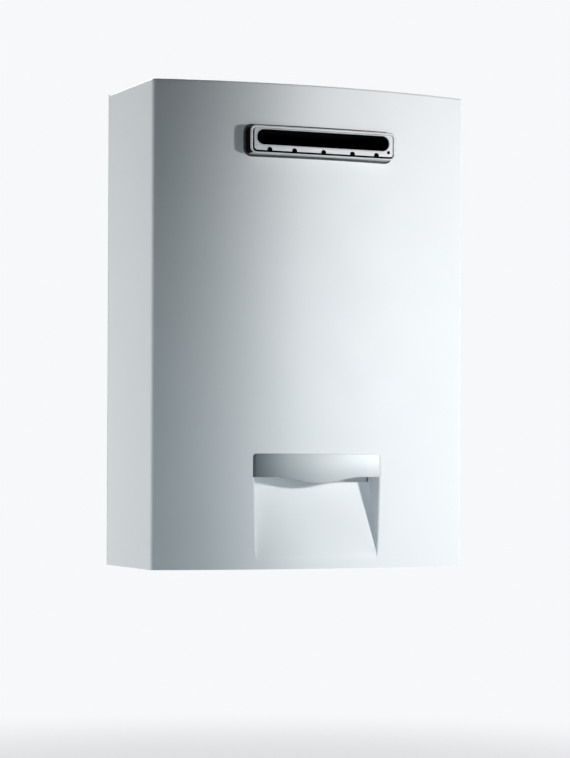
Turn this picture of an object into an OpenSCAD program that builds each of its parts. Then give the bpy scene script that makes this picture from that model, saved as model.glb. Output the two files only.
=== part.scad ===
// Wall-hung gas water heater for outdoor use: a bowed sheet-steel cover slides forward off a chassis
// that holds the fan, burner, heat exchanger, flue and water parts.
// The wall is the plane y = 0, the front looks along -y, and z = 0 is the lower edge of the cover.

/* [Casing] */
// Width over the side panels
case_w = 410; // [402:1:450]
// Height of the cover
case_h = 580; // [570:1:640]
// Depth of a side panel, from the wall
side_d = 156; // [154:1:170]
// How far the bowed front stands ahead of its side edges
bow_rise = 27; // [24:1:32]
// Thickness of the cover's sheet
sheet_t = 1; // [0.8:0.1:1.4]
// Radius of the bend between the front and a side
edge_r = 5; // [4:0.5:8]
// Thickness of the rear panel
panel_t = 1.2; // [1:0.1:1.6]
// How far the skirt of the cover hangs below the bottom plate
skirt_h = 32; // [31:1:36]

/* [Front recess and trim bar] */
// Width of the recess at its upper end
recess_top_w = 163; // [150:1:164]
// Width of the recess at its lower end
recess_low_w = 158; // [140:1:160]
// Height at which the recess begins
recess_low_z = 14; // [12:1:20]
// Height at which the floor of the recess ends
recess_high_z = 104; // [100:1:106]
// Depth of the recess at its upper end
recess_d = 28; // [22:1:30]
// Height of the air inlet above the recess floor
intake_h = 8; // [7:0.5:10]
// Width of the trim bar
bar_w = 168; // [167:1:180]
// Height of the trim bar at its ends
bar_h = 28; // [24:1:32]
// Height at which the trim bar begins
bar_z = 110; // [108:1:111]
// How far the middle of the trim bar dips
bar_dip = 7.5; // [5:0.5:9]
// Thickness of the trim bar
bar_t = 1.8; // [1.4:0.1:2.4]

/* [Flue terminal] */
// Width of the terminal
terminal_w = 190; // [180:1:200]
// Height of the terminal
terminal_h = 33.4; // [32:0.2:36]
// Radius of its corners
terminal_r = 7.5; // [6:0.5:9]
// How far it stands ahead of the middle of the front
terminal_proud = 10.6; // [8:0.2:14]
// Distance of its middle below the top of the cover
terminal_drop = 69.7; // [66:0.1:78]
// Distance from an end of its slot to the side of the terminal
slot_margin = 8.5; // [8:0.5:15]
// Height of its slot
slot_h = 17; // [15:0.5:18]
// Diameter of a drain hole
drain_hole_d = 5; // [4:0.2:5.4]

/* [Heat exchanger] */
// Distance from the side of the combustion chamber to the side of the cover
chamber_margin = 83; // [82:0.5:85]
// Depth of the combustion chamber
chamber_d = 110; // [108:1:112]
// Height of a fin
fin_h = 60; // [56:1:64]
// Distance between fins
fin_pitch = 6.4; // [6:0.1:9]
// Outer diameter of a tube in the fins
fin_tube_d = 16; // [14:0.5:17]
// Distance between the tubes in the fins
fin_tube_pitch = 24; // [23:0.5:24]
// Outer diameter of the water pipes
pipe_d = 12; // [10:0.5:13]
// Height of the burner tray
tray_h = 63; // [60:1:66]
// Distance between burner blades
blade_pitch = 18; // [16:1:22]

/* [Fan] */
// Diameter of the impeller
impeller_d = 88; // [80:1:90]
// Width of the impeller
impeller_w = 40; // [34:1:41]
// Number of its blades
impeller_blades = 32; // [24:1:36]
// Diameter of its shaft
shaft_d = 6; // [5:0.5:8]

/* [Gas and water] */
// Outer diameter of a G 1/2 thread
thread_d = 20.96; // [19:0.01:22]
// Length of a thread
thread_l = 14; // [12:0.5:15]
// Bore of a fitting
fitting_bore = 14; // [12:0.5:15]
// Travel of a gas plunger
plunger_travel = 3; // [2:0.5:3.5]
// Diameter of a gas plunger
plunger_d = 9.6; // [8:0.2:11]
// Diameter of the flow turbine
turbine_d = 20.6; // [18:0.2:21]
// Diameter of the spindle of the flow valve
spindle_d = 13.9; // [12:0.1:14]

/* [Hidden] */
$fn = 64;

// Shared clearances and allowances
overrun = 1;
slide_gap = 0.5;
fit_gap = 0.05;
run_gap = 0.3;
seat_gap = 0.02;

// Casing
half_w = case_w / 2;
front_y = -(side_d + bow_rise);
bow_r = (half_w * half_w + bow_rise * bow_rise) / (2 * bow_rise);
bow_y = front_y + bow_r;
inner_x = half_w - sheet_t;
cover_back_y = -panel_t - slide_gap;
flange_d = 14;
flange_x = inner_x - slide_gap;
flange_top_z = case_h - sheet_t - slide_gap;
rib_d = 4;
rib_slope = 5;
rib_w = 46;
rib_x = 92;
rib_top_z = flange_top_z - panel_t / 2;
hanger_w = 150;
hanger_h = 19;
hanger_r = 6;
fixing_d = 8;
fixing_pitch = 80;
top_fixing_z = case_h + hanger_h / 2;
low_fixing_z = skirt_h / 2;
cover_tab_w = 22;
cover_tab_l = 34;
cover_tab_t = 1.2;
cover_tab_gap = 1.6;
cover_tab_y = -88;
cover_tab_z = skirt_h - cover_tab_gap - cover_tab_t;
cover_screw_d = 5;
cover_screw_y = cover_tab_y + cover_tab_l / 2;
cover_screw_x = inner_x - cover_tab_w / 2;
screw_head_d = 10;
screw_head_h = 3;

// Recess
recess_tilt = atan(recess_d / (recess_high_z - recess_low_z));
recess_top_z = recess_high_z + intake_h;
recess_back_y = front_y + recess_d + sheet_t;
recess_widen = (recess_top_w - recess_low_w) / (recess_high_z - recess_low_z) / 2;

// Trim bar
bar_gap = 0.05;
bar_r = 4;
bar_dip_w = 116;
bar_steps = 24;
bar_peg_d = 5;
bar_peg_l = 3;
bar_peg_x = 64;
bar_peg_z = bar_z + bar_h * 0.6;

// Baffle behind the air inlet
baffle_t = 0.8;
baffle_seat_w = 12;
baffle_drop = 9;
baffle_w = recess_top_w - 2 * sheet_t;

// Bottom plate
floor_t = 1;
floor_top_z = skirt_h + floor_t;
floor_set_back = 16;
floor_front_y = floor_set_back - side_d;
floor_lip_h = 12;

// Stack of burner, chamber and heat exchanger
collector_h = 74;
collector_rise = 50.3;
stack_back_y = -25;
stack_front_y = stack_back_y - chamber_d;
valve_z = 62;
valve_h = 88;
terminal_z = case_h - terminal_drop;
collector_z = terminal_z - collector_rise;
fins_z = collector_z - fin_h;
plenum_h = 23;
plenum_share = 0.16;
spare_h = fins_z - tray_h - plenum_h - valve_z - valve_h;
plenum_z = valve_z + valve_h + spare_h * plenum_share;
tray_z = plenum_z + plenum_h;
chamber_z = tray_z + tray_h;
chamber_h = fins_z - chamber_z;
chamber_x = half_w - chamber_margin;
chamber_w = 2 * chamber_x;
wall_t = 0.8;
pipe_r = pipe_d / 2;
pipe_bore_r = pipe_r - wall_t;
bend_r = 15;

// Flue
terminal_front_y = front_y - terminal_proud;
terminal_set_back = 4;
terminal_back_y = terminal_set_back - side_d;
terminal_lip = 3;
terminal_recess = 3.5;
terminal_groove = 1.2;
terminal_flange = 8;
slot_rise = 3.1;
slot_w = terminal_w - 2 * slot_margin;
drain_margin = 7.1;
drain_drop = terminal_h / 2 - drain_margin;
drain_outer_margin = 25;
drain_outer_x = terminal_w / 2 - drain_outer_margin;
drain_inner_share = 0.543;
drain_inner_x = drain_outer_x * drain_inner_share;
drain_end_margin = 9;
drain_end_x = terminal_w / 2 - drain_end_margin;
drain_end_rise = 2.3;
mouth_side_lap = 9;
mouth_lap = 4.2;
mouth_w = terminal_w - 2 * mouth_side_lap;
mouth_h = terminal_h - 2 * mouth_lap;
seal_t = 1.5;
gasket_t = 1.2;
gasket_lip_t = 0.8;
gasket_lip_w = 1.2;

// Fins and tubes
fin_t = 0.5;
fin_margin = 8;
fin_count = 2 * floor((chamber_x - fin_margin) / fin_pitch) + 1;
tube_count = 4;
tube_r = fin_tube_d / 2;
tube_bore_r = tube_r - wall_t;
tube_z = fins_z + fin_h / 2;
wrap_gap = 0.5;
wrap_x = chamber_x + pipe_r + wrap_gap;
wrap_y = stack_front_y - pipe_r - wrap_gap;
wrap_corner_r = 20;
chamber_r = wrap_corner_r - pipe_r - wrap_gap;
riser_top_z = tube_z - tube_r - wall_t / 2;
probe_rise = 9;
probe_z = chamber_z + probe_rise;
insulator_r = 4;
wrap_pitch_share = 0.25;
wrap_pitch = chamber_h * wrap_pitch_share;
wrap_low_z = probe_z + insulator_r + pipe_r + wrap_pitch / 2;
wrap_back_y = -48;
front_tube_y = wrap_y + wrap_corner_r + bend_r;
notch_d = 12;
end_plate_t = 1.2;

// Burner
blade_w = 9;
blade_top_w = 5;
blade_foot_w = 7;
blade_h = 46;
blade_foot_h = 10;
blade_lift = 6;
blade_margin = 7;
blade_slot_w = 1;
blade_slot_d = 2;
blade_slot_pitch = 12;
blade_count = 2 * floor((chamber_x - blade_pitch / 2 - blade_margin) / blade_pitch) + 1;
injector_z = tray_z + blade_lift + blade_foot_h / 2;
mouth_r = 4.4;
manifold_s = 12;
manifold_gap = 5;
manifold_y = stack_front_y - manifold_gap - manifold_s;

// Fan
fan_x = -62;
fan_front_y = -96;
fan_back_y = -46;
scroll_r = 48;
scroll_growth = 18;
scroll_start = 90;
scroll_end = 360;
scroll_t = 1.2;
scroll_low_r = scroll_r + scroll_growth * 2 / 3 + scroll_t;
fan_height = scroll_low_r + scroll_r + scroll_t;
fan_rise_share = 0.3;
fan_z = floor_top_z + scroll_low_r + (plenum_z - floor_top_z - fan_height) * fan_rise_share;
scroll_steps = 36;
scroll_mouth_w = 38;
inlet_d = 64;
motor_d = 62;
motor_l = 30;
hub_d = 14;
disc_t = 1.5;
impeller_gap = 4;
blade_chord = 9;
fan_blade_t = 0.9;
fan_blade_turn = 35;

// Gas
gas_x = 48;
gas_y = -70;
hex_af = 27;
hex_h = 11;
stub_z = skirt_h - hex_h - thread_l - seat_gap;
valve_w = 54;
valve_d = 62;
coil_d = 30;
coil_l = 34;
coil_low_rise = 20;
coil_pitch = 42;
coil_low_z = valve_z + coil_low_rise;
coil_high_z = coil_low_z + coil_pitch;
coil_x = gas_x + valve_w / 2;
feed_rise = 6;
feed_z = coil_high_z + feed_rise;
feed_y = manifold_y + manifold_s / 2;
valve_front_y = gas_y - valve_d / 2;

// Water
cold_side_gap = 40;
cold_x = half_w - cold_side_gap;
cold_y = wrap_back_y + bend_r;
hot_side_gap = 55;
hot_x = hot_side_gap - half_w;
block_w = 32;
block_h = 27;
drain_y = -82;
drain_bore_d = 14;
knob_d = 20;
knob_h = 10;
sensor_r = 16;
sensor_h = 52;
sensor_z = floor_top_z + block_h;
sensor_bore_r = turbine_d / 2 + run_gap;
turbine_shaft_d = 2;
turbine_h = 14;
turbine_blade_turn = 35;
servo_z = sensor_z + sensor_h;
servo_h = 36;
servo_mid_z = servo_z + servo_h / 2;
servo_l = 26;
servo_d = 30;
stem_d = 6;
stem_l = 12;
valve_pipe_z = servo_z + servo_h;

// Electrics
box_w = 50;
box_d = 46;
box_h = 200;
box_z = 196;
box_wall = 2;
box_side_gap = 4;
box_left_x = inner_x - box_side_gap - box_w;
box_back_y = -98;
gland_share = 4 / 9;
gland_x = gas_x + (cold_x - gas_x) * gland_share;
gland_y = -50;
gland_d = 16;
cord_bore_d = 7;
hot_y = front_tube_y + (tube_count - 1) * fin_tube_pitch;
floor_x = flange_x - panel_t - seat_gap;
bow_fn = 360;
rim_r = 0.9;
ignition_x = 30;
probe_r = 1.6;
probe_l = 26;
box_lip = 3;
card_t = 1.6;
card_gap = 6;
coil_box_w = 34;
coil_box_h = 56;
coil_box_d = 30;
coil_box_z = 236;
loom_r = 4;
nut_l = 12;
nut_af = 19;
clip_w = 8;
clip_t = 1.5;
plate_screw_d = 4;
duct_t = 1.2;
bracket_w = 104;
bracket_h = 26;
valve_r = 6;
chamber_bore_r = 8;
seat_bore_r = 4;
head_l = 3;
head_r = 6.5;
head_back = 13.5;
chamber_back = 4;
yoke_t = 1.5;
coil_end = 3;
filter_r = 5;
filter_l = 12;
port_r = 5;
relief_r = 7;
relief_l = 20;
relief_z = 150;
tray_hole_d = 8;
tray_flange = 5;
stub_neck_r = 10;
terminal_t = 1.2;
face_w = terminal_w - 2 * (terminal_lip + terminal_groove);
face_h = terminal_h - 2 * (terminal_lip + terminal_groove);
face_r = terminal_r - terminal_lip - terminal_groove;
face_d = 7;
face_front_y = terminal_front_y + terminal_recess;

switch_r = 9;
switch_h = 7;
motor_ear_r = 5;
impeller_back_y = fan_back_y - scroll_t - impeller_gap;
drain_neck_z = 18;
knob_slot_w = 3;
turbine_z = sensor_z + (sensor_h - turbine_h) / 2;
card_back = 8;
relay_h = 14;
loom_x = box_left_x + box_w / 2;
loom_y = box_back_y - box_wall - loom_r - run_gap;
loom_bend = 10;
gland_l = 14;
coil_box_side_gap = 8;
coil_box_left_x = coil_box_side_gap - inner_x;
flange_screw_margin = 35;
flange_screw_x = terminal_w / 2 - flange_screw_margin;
flange_screw_z = terminal_h / 2 + terminal_flange / 2;

// Depth of the bowed front at a distance from the middle
function front_at(x) = bow_y - sqrt(bow_r * bow_r - x * x);

// Places of the tubes in the fins, from the front
function tube_y(i) = front_tube_y + i * fin_tube_pitch;

// A block between two opposite corners
module block(low, high) {
    translate(low) cube(high - low);
}

// A flat shape of width and height, made thick towards the front from a depth
module facing(back_y, depth) {
    translate([0, back_y, 0]) rotate([90, 0, 0]) linear_extrude(depth) children();
}

module rounded(w, h, r) {
    square([w - 2 * r, h], center = true);
    square([w, h - 2 * r], center = true);
    for (x = [-1, 1], y = [-1, 1]) translate([x * (w / 2 - r), y * (h / 2 - r)]) circle(r);
}

module slot_shape(w, h) {
    square([w - h, h], center = true);
    for (x = [-1, 1]) translate([x * (w - h) / 2, 0]) circle(h / 2);
}

module annulus(r, bore) {
    difference() {
        circle(r);
        circle(bore);
    }
}

module tube_x(from, to, y, z, r, bore) {
    translate([from, y, z]) rotate([0, 90, 0]) linear_extrude(to - from) annulus(r, bore);
}

module tube_y_run(x, from, to, z, r, bore) {
    translate([x, to, z]) rotate([90, 0, 0]) linear_extrude(to - from) annulus(r, bore);
}

module tube_z(x, y, from, to, r, bore) {
    translate([x, y, from]) linear_extrude(to - from) annulus(r, bore);
}

// Bends of a tube in the three planes, each from a start angle over a sweep
module bend_flat(centre, start, sweep, radius, r, bore) {
    translate(centre) rotate([0, 0, start]) rotate_extrude(angle = sweep) translate([radius, 0])
        annulus(r, bore);
}

module bend_side(centre, start, sweep, radius, r, bore) {
    translate(centre) rotate([90, 0, 90]) rotate([0, 0, start]) rotate_extrude(angle = sweep)
        translate([radius, 0]) annulus(r, bore);
}

module bend_front(centre, start, sweep, radius, r, bore) {
    translate(centre) rotate([90, 0, 0]) rotate([0, 0, start]) rotate_extrude(angle = sweep)
        translate([radius, 0]) annulus(r, bore);
}

// Outline of the casing seen from above, drawn in by an inset
module plan(inset, back_y) {
    corner_x = half_w - edge_r;
    corner_y = bow_y - sqrt(pow(bow_r - edge_r, 2) - corner_x * corner_x);
    tangent_x = corner_x * (bow_r - inset) / (bow_r - edge_r);
    intersection() {
        translate([0, bow_y]) circle(bow_r - inset, $fn = bow_fn);
        translate([-tangent_x, front_y - overrun]) square([2 * tangent_x, back_y - front_y + overrun]);
    }
    translate([inset - half_w, corner_y]) square([2 * (half_w - inset), back_y - corner_y]);
    for (x = [-corner_x, corner_x]) translate([x, corner_y]) circle(edge_r - inset);
}

// Solid behind a bow of a given radius, over a range of heights
module bow(r, low_z, high_z) {
    translate([0, bow_y, low_z]) cylinder(r = r, h = high_z - low_z, $fn = bow_fn);
}

// Recess: its outline from the front, and the solid behind its sloping floor
module recess_outline(grow, low_z) {
    low_x = recess_low_w / 2 + grow + (low_z - recess_low_z) * recess_widen;
    top_z = recess_top_z + grow;
    top_x = recess_low_w / 2 + grow + (top_z - recess_low_z) * recess_widen;
    polygon([[-low_x, low_z], [low_x, low_z], [top_x, top_z], [-top_x, top_z]]);
}

module recess_floor(r) {
    translate([0, front_y, recess_low_z]) rotate([-recess_tilt, 0, 0]) translate([0, bow_r, -recess_d])
        cylinder(r = r, h = recess_top_z + 2 * recess_d, $fn = bow_fn);
}

module recess_void() {
    difference() {
        facing(recess_back_y + intake_h, recess_d + sheet_t + intake_h + overrun)
            recess_outline(0, recess_low_z - overrun);
        intersection() {
            recess_floor(bow_r);
            block([-case_w, front_y - bow_rise, -case_h], [case_w, bow_rise, recess_high_z]);
        }
    }
}

module recess_tray() {
    intersection() {
        linear_extrude(case_h) plan(0, cover_back_y);
        difference() {
            facing(recess_back_y, recess_d + sheet_t + overrun)
                recess_outline(sheet_t, recess_low_z - overrun);
            recess_floor(bow_r - sheet_t);
        }
    }
}

module cover_tab() {
    difference() {
        block([inner_x - cover_tab_w, cover_tab_y, cover_tab_z],
            [inner_x + sheet_t / 2, cover_tab_y + cover_tab_l, cover_tab_z + cover_tab_t]);
        translate([cover_screw_x, cover_screw_y, cover_tab_z - overrun])
            cylinder(d = cover_screw_d + 2 * run_gap, h = cover_tab_t + 2 * overrun);
        block([cover_screw_x - cover_screw_d / 2 - run_gap, cover_screw_y, cover_tab_z - overrun],
            [cover_screw_x + cover_screw_d / 2 + run_gap, 0, cover_tab_z + cover_tab_t + overrun]);
    }
}

module aperture(grow) {
    w = terminal_w + 2 * grow;
    h = terminal_h + 2 * grow;
    translate([0, 0, terminal_z]) facing(terminal_back_y, terminal_back_y - terminal_front_y)
        rounded(w, h, terminal_r + grow);
}

module front_cover() {
    color("white") difference() {
        union() {
            difference() {
                linear_extrude(case_h) plan(0, cover_back_y);
                translate([0, 0, -overrun]) linear_extrude(case_h - sheet_t + overrun) plan(sheet_t, overrun);
            }
            recess_tray();
            cover_tab();
            mirror([1, 0, 0]) cover_tab();
        }
        recess_void();
        aperture(run_gap + gasket_t + seat_gap);
        for (x = [-bar_peg_x, bar_peg_x]) translate([x, front_y + bar_peg_l * 2, bar_peg_z])
            rotate([90, 0, 0])
            cylinder(d = bar_peg_d + 2 * fit_gap, h = bar_peg_l * 3);
    }
}

// Trim bar: follows the bow, its lower edge dips in the middle
module bar_outline() {
    w = bar_w / 2;
    dip = [for (i = [0 : bar_steps]) let (x = bar_dip_w * (i / bar_steps - 0.5))
        [x, -bar_dip * (1 + cos(360 * x / bar_dip_w)) / 2]];
    right = [for (a = [0 : 15 : 90]) [w - bar_r + bar_r * cos(a), bar_h - bar_r + bar_r * sin(a)]];
    left = [for (a = [90 : 15 : 180]) [-w + bar_r + bar_r * cos(a), bar_h - bar_r + bar_r * sin(a)]];
    translate([0, bar_z]) polygon(concat([[-w, 0]], dip, [[w, 0]], right, left));
}

module trim_bar() {
    back_r = bow_r + bar_gap;
    color("silver") {
        intersection() {
            facing(front_at(bar_w / 2) + overrun, bow_rise) bar_outline();
            difference() {
                bow(back_r + bar_t, bar_z - 2 * bar_dip, bar_z + 2 * bar_h);
                bow(back_r, bar_z - 3 * bar_dip, bar_z + 3 * bar_h);
            }
        }
        for (x = [-bar_peg_x, bar_peg_x]) translate([x, front_at(x) + bar_peg_l, bar_peg_z])
            rotate([90, 0, 0])
            cylinder(d = bar_peg_d, h = bar_peg_l + bar_t / 2);
    }
}

module gasket_ring(grow, outer_r, inner_r) {
    intersection() {
        difference() {
            aperture(run_gap + gasket_t + grow);
            translate([0, overrun, 0]) aperture(run_gap);
            translate([0, -overrun, 0]) aperture(run_gap);
        }
        difference() {
            bow(outer_r, terminal_z - terminal_h, terminal_z + terminal_h);
            bow(inner_r, terminal_z - 2 * terminal_h, terminal_z + 2 * terminal_h);
        }
    }
}

module terminal_gasket() {
    back_r = bow_r - sheet_t - seat_gap;
    color("black") {
        gasket_ring(0, bow_r + gasket_lip_t, back_r - gasket_lip_t);
        gasket_ring(gasket_lip_w, bow_r + gasket_lip_t, bow_r + seat_gap);
        gasket_ring(gasket_lip_w, back_r, back_r - gasket_lip_t);
    }
}

module intake_baffle() {
    back_y = recess_back_y + intake_h;
    top_z = recess_top_z + sheet_t + seat_gap;
    w = baffle_w / 2;
    color("white") {
        block([-w, recess_back_y - baffle_seat_w, top_z], [w, back_y + baffle_t, top_z + baffle_t]);
        block([-w, back_y, recess_high_z - baffle_drop], [w, back_y + baffle_t, top_z + baffle_t]);
    }
}

module cover_screws() {
    head_top_z = cover_tab_z - run_gap;
    color("silver") for (x = [-cover_screw_x, cover_screw_x]) translate([x, cover_screw_y, 0]) {
        translate([0, 0, head_top_z - screw_head_h]) cylinder(d = screw_head_d, h = screw_head_h, $fn = 6);
        translate([0, 0, head_top_z - overrun])
            cylinder(d = cover_screw_d, h = floor_top_z - head_top_z + screw_head_h);
    }
}

// Rear panel: a pressed sheet with two upright ribs, side and top flanges and a hanger tab
module rib_shape(depth, back_y) {
    for (side = [-1, 1]) translate([side * rib_x, 0])
        polygon([[-rib_w / 2, back_y], [rib_slope - rib_w / 2, -depth],
        [rib_w / 2 - rib_slope, -depth], [rib_w / 2, back_y]]);
}

module rear_panel() {
    color("gainsboro") difference() {
        union() {
            block([-half_w, -panel_t, rib_top_z], [half_w, 0, case_h]);
            linear_extrude(rib_top_z) difference() {
                union() {
                    translate([-half_w, -panel_t]) square([case_w, panel_t]);
                    rib_shape(panel_t + rib_d, -panel_t / 2);
                }
                rib_shape(rib_d, seat_gap);
            }
            for (side = [-1, 1]) translate([side * (flange_x - panel_t / 2) - panel_t / 2, -flange_d, 0])
                cube([panel_t, flange_d - panel_t / 2, flange_top_z]);
            block([-flange_x, -flange_d, flange_top_z - panel_t], [flange_x, -panel_t / 2, flange_top_z]);
            facing(0, panel_t) translate([0, case_h + hanger_h / 2 - hanger_r])
                rounded(hanger_w, hanger_h + 2 * hanger_r, hanger_r);
        }
        for (x = [-fixing_pitch / 2, fixing_pitch / 2], z = [low_fixing_z, top_fixing_z])
            translate([x, overrun, z]) rotate([90, 0, 0]) cylinder(d = fixing_d, h = panel_t + 2 * overrun);
    }
}

module bottom_plate() {
    color("gainsboro") {
        translate([0, 0, skirt_h]) linear_extrude(floor_t) difference() {
            translate([-floor_x, floor_front_y]) square([2 * floor_x, -panel_t - floor_front_y]);
            rib_shape(panel_t + rib_d + seat_gap, -panel_t);
            for (p = [[gas_x, gas_y], [cold_x, cold_y], [hot_x, hot_y], [cold_x, drain_y]])
                translate(p) circle(stub_neck_r + fit_gap);
            translate([gland_x, gland_y]) circle(d = gland_d + 2 * fit_gap);
            for (x = [-cover_screw_x, cover_screw_x]) translate([x, cover_screw_y])
                circle(d = cover_screw_d + 2 * fit_gap);
        }
        block([-floor_x, floor_front_y, floor_top_z - floor_t / 2],
            [floor_x, floor_front_y + floor_t, floor_top_z + floor_lip_h]);
    }
}

// Flue
module flange_shape() {
    rounded(terminal_w - 2 * terminal_t, terminal_h + 2 * terminal_flange, terminal_r);
}

module flange_holes() {
    for (x = [-flange_screw_x, flange_screw_x], z = [-flange_screw_z, flange_screw_z])
        translate([x, terminal_back_y - 2 * terminal_t, z]) rotate([-90, 0, 0])
        cylinder(d = plate_screw_d + 2 * fit_gap, h = 4 * terminal_t + 2 * seal_t);
}

module terminal_housing() {
    inner_w = terminal_w - 2 * terminal_t;
    inner_h = terminal_h - 2 * terminal_t;
    length = terminal_back_y - terminal_front_y;
    color("silver") translate([0, 0, terminal_z]) difference() {
        union() {
            facing(terminal_back_y, length) rounded(terminal_w, terminal_h, terminal_r);
            facing(terminal_back_y, terminal_t) flange_shape();
        }
        facing(terminal_back_y + overrun, length - terminal_t + overrun)
            rounded(inner_w, inner_h, terminal_r - terminal_t);
        facing(terminal_back_y, length + overrun)
            rounded(terminal_w - 2 * terminal_lip, terminal_h - 2 * terminal_lip,
            terminal_r - terminal_lip);
        flange_holes();
    }
}

module slot_rim() {
    straight = slot_w - slot_h;
    r = slot_h / 2 + rim_r;
    for (z = [-r, r]) translate([-straight / 2, 0, z]) rotate([0, 90, 0]) cylinder(r = rim_r, h = straight);
    for (side = [0, 180]) rotate([0, side, 0]) translate([straight / 2, 0, 0]) rotate([90, 0, 0])
        rotate([0, 0, -90]) rotate_extrude(angle = 180) translate([r, 0]) circle(rim_r);
}

module terminal_face() {
    flange_w = terminal_w - 2 * terminal_t - 2 * seat_gap;
    flange_h = terminal_h - 2 * terminal_t - 2 * seat_gap;
    color("silver") translate([0, 0, terminal_z]) {
        difference() {
            union() {
                facing(face_front_y + face_d, face_d) rounded(face_w, face_h, face_r);
                facing(face_front_y + face_d, terminal_t)
                    rounded(flange_w, flange_h, terminal_r - terminal_t - seat_gap);
            }
            facing(face_front_y + face_d + overrun, face_d + 2 * overrun) translate([0, slot_rise])
                slot_shape(slot_w, slot_h);
            for (x = [-drain_outer_x, -drain_inner_x, 0, drain_inner_x, drain_outer_x])
                facing(face_front_y + face_d + overrun, face_d + 2 * overrun) translate([x, -drain_drop])
                    circle(d = drain_hole_d);
            facing(face_front_y + face_d + overrun, face_d + 2 * overrun)
                translate([drain_end_x, drain_end_rise - drain_drop])
                circle(d = drain_hole_d);
        }
        translate([0, face_front_y, slot_rise]) slot_rim();
    }
}

module terminal_seal() {
    color("black") translate([0, 0, terminal_z])
        facing(terminal_back_y + seal_t - seat_gap, seal_t - 2 * seat_gap) difference() {
        flange_shape();
        square([mouth_w, mouth_h], center = true);
        for (x = [-flange_screw_x, flange_screw_x], z = [-flange_screw_z, flange_screw_z])
            translate([x, z]) circle(d = plate_screw_d + 2 * fit_gap);
    }
}

module flue_collector() {
    mouth_y = terminal_back_y + seal_t;
    color("gray") difference() {
        union() {
            block([-chamber_x, stack_front_y, collector_z],
                [chamber_x, stack_back_y, collector_z + collector_h]);
            translate([0, 0, terminal_z]) facing(stack_front_y + wall_t, stack_front_y + wall_t - mouth_y)
                square([mouth_w + 2 * wall_t, mouth_h + 2 * wall_t], center = true);
            translate([0, 0, terminal_z]) facing(mouth_y + terminal_t, terminal_t) flange_shape();
        }
        translate([0, 0, terminal_z]) flange_holes();
        block([wall_t - chamber_x, stack_front_y + wall_t, collector_z - overrun],
            [chamber_x - wall_t, stack_back_y - wall_t, collector_z + collector_h - wall_t]);
        translate([0, 0, terminal_z]) facing(stack_front_y + 2 * wall_t,
            stack_front_y + 2 * wall_t - mouth_y + overrun)
            square([mouth_w, mouth_h], center = true);
    }
}

// Heat exchanger
module fin_shape() {
    difference() {
        translate([stack_front_y + wall_t, 0]) square([chamber_d - 2 * wall_t, fin_h - 2 * seat_gap]);
        for (i = [0 : tube_count - 1]) translate([tube_y(i), fin_h / 2]) circle(tube_r + fit_gap);
        for (i = [0 : tube_count - 2], z = [0, fin_h]) translate([tube_y(i) + fin_tube_pitch / 2, z])
            circle(d = notch_d);
    }
}

module upright(x, thickness) {
    translate([x - thickness / 2, 0, fins_z + seat_gap]) rotate([90, 0, 90]) linear_extrude(thickness)
        children();
}

module fin_pack() {
    color("peru") for (i = [0 : fin_count - 1]) upright((i - (fin_count - 1) / 2) * fin_pitch, fin_t)
        fin_shape();
}

module end_plates() {
    color("peru") for (side = [-1, 1]) upright(side * (chamber_x - end_plate_t / 2), end_plate_t)
        difference() {
        translate([stack_front_y, 0]) square([chamber_d, fin_h - 2 * seat_gap]);
        for (i = [0 : tube_count - 1]) translate([tube_y(i), fin_h / 2]) circle(tube_r + fit_gap);
    }
    color("peru") for (y = [stack_front_y, stack_back_y - end_plate_t / 2])
        block([end_plate_t - chamber_x, y, fins_z + seat_gap],
            [chamber_x - end_plate_t, y + end_plate_t / 2, collector_z - seat_gap]);
}

module fin_tubes() {
    end_x = chamber_x + end_plate_t;
    turn_r = fin_tube_pitch / 2;
    color("peru") {
        for (i = [0 : tube_count - 1]) tube_x(-end_x, end_x, tube_y(i), tube_z, tube_r, tube_bore_r);
        for (i = [0 : 2 : tube_count - 2]) bend_flat([end_x, tube_y(i) + turn_r, tube_z], -90, 180,
            turn_r, tube_r, tube_bore_r);
        for (i = [1 : 2 : tube_count - 2]) bend_flat([-end_x, tube_y(i) + turn_r, tube_z], 90, 180,
            turn_r, tube_r, tube_bore_r);
    }
}

module water_header() {
    end_x = chamber_x + end_plate_t + seat_gap;
    far_x = wrap_x + tube_r + wall_t;
    side = tube_r + 2 * wall_t;
    low_z = tube_z - tube_r - 4 * wall_t;
    color("peru") {
        difference() {
            block([-far_x, front_tube_y - side, low_z], [-end_x, front_tube_y + side, tube_z + side]);
            translate([-wrap_x, front_tube_y, low_z - overrun])
                cylinder(r = pipe_r + fit_gap, h = riser_top_z + seat_gap - low_z + overrun);
            translate([-wrap_x, front_tube_y, low_z]) cylinder(r = pipe_bore_r, h = tube_z - low_z);
            translate([-wrap_x, front_tube_y, tube_z]) rotate([0, 90, 0])
                cylinder(r = tube_bore_r, h = tube_r * 2);
        }
        tube_x(hot_x + bend_r, -end_x, hot_y, tube_z, tube_r + wall_t, pipe_r + fit_gap);
    }
}

module combustion_chamber() {
    color("peru") difference() {
        translate([0, (stack_front_y + stack_back_y) / 2, chamber_z + seat_gap])
            linear_extrude(chamber_h - 2 * seat_gap)
            difference() {
                rounded(chamber_w, chamber_d, chamber_r);
                rounded(chamber_w - 2 * wall_t, chamber_d - 2 * wall_t, chamber_r - wall_t);
            }
        for (x = [ignition_x, -ignition_x, -ignition_x - 2 * insulator_r - run_gap])
            translate([x, stack_front_y - wall_t, probe_z])
            rotate([-90, 0, 0]) cylinder(r = insulator_r + fit_gap, h = 3 * wall_t);
    }
}

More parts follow.
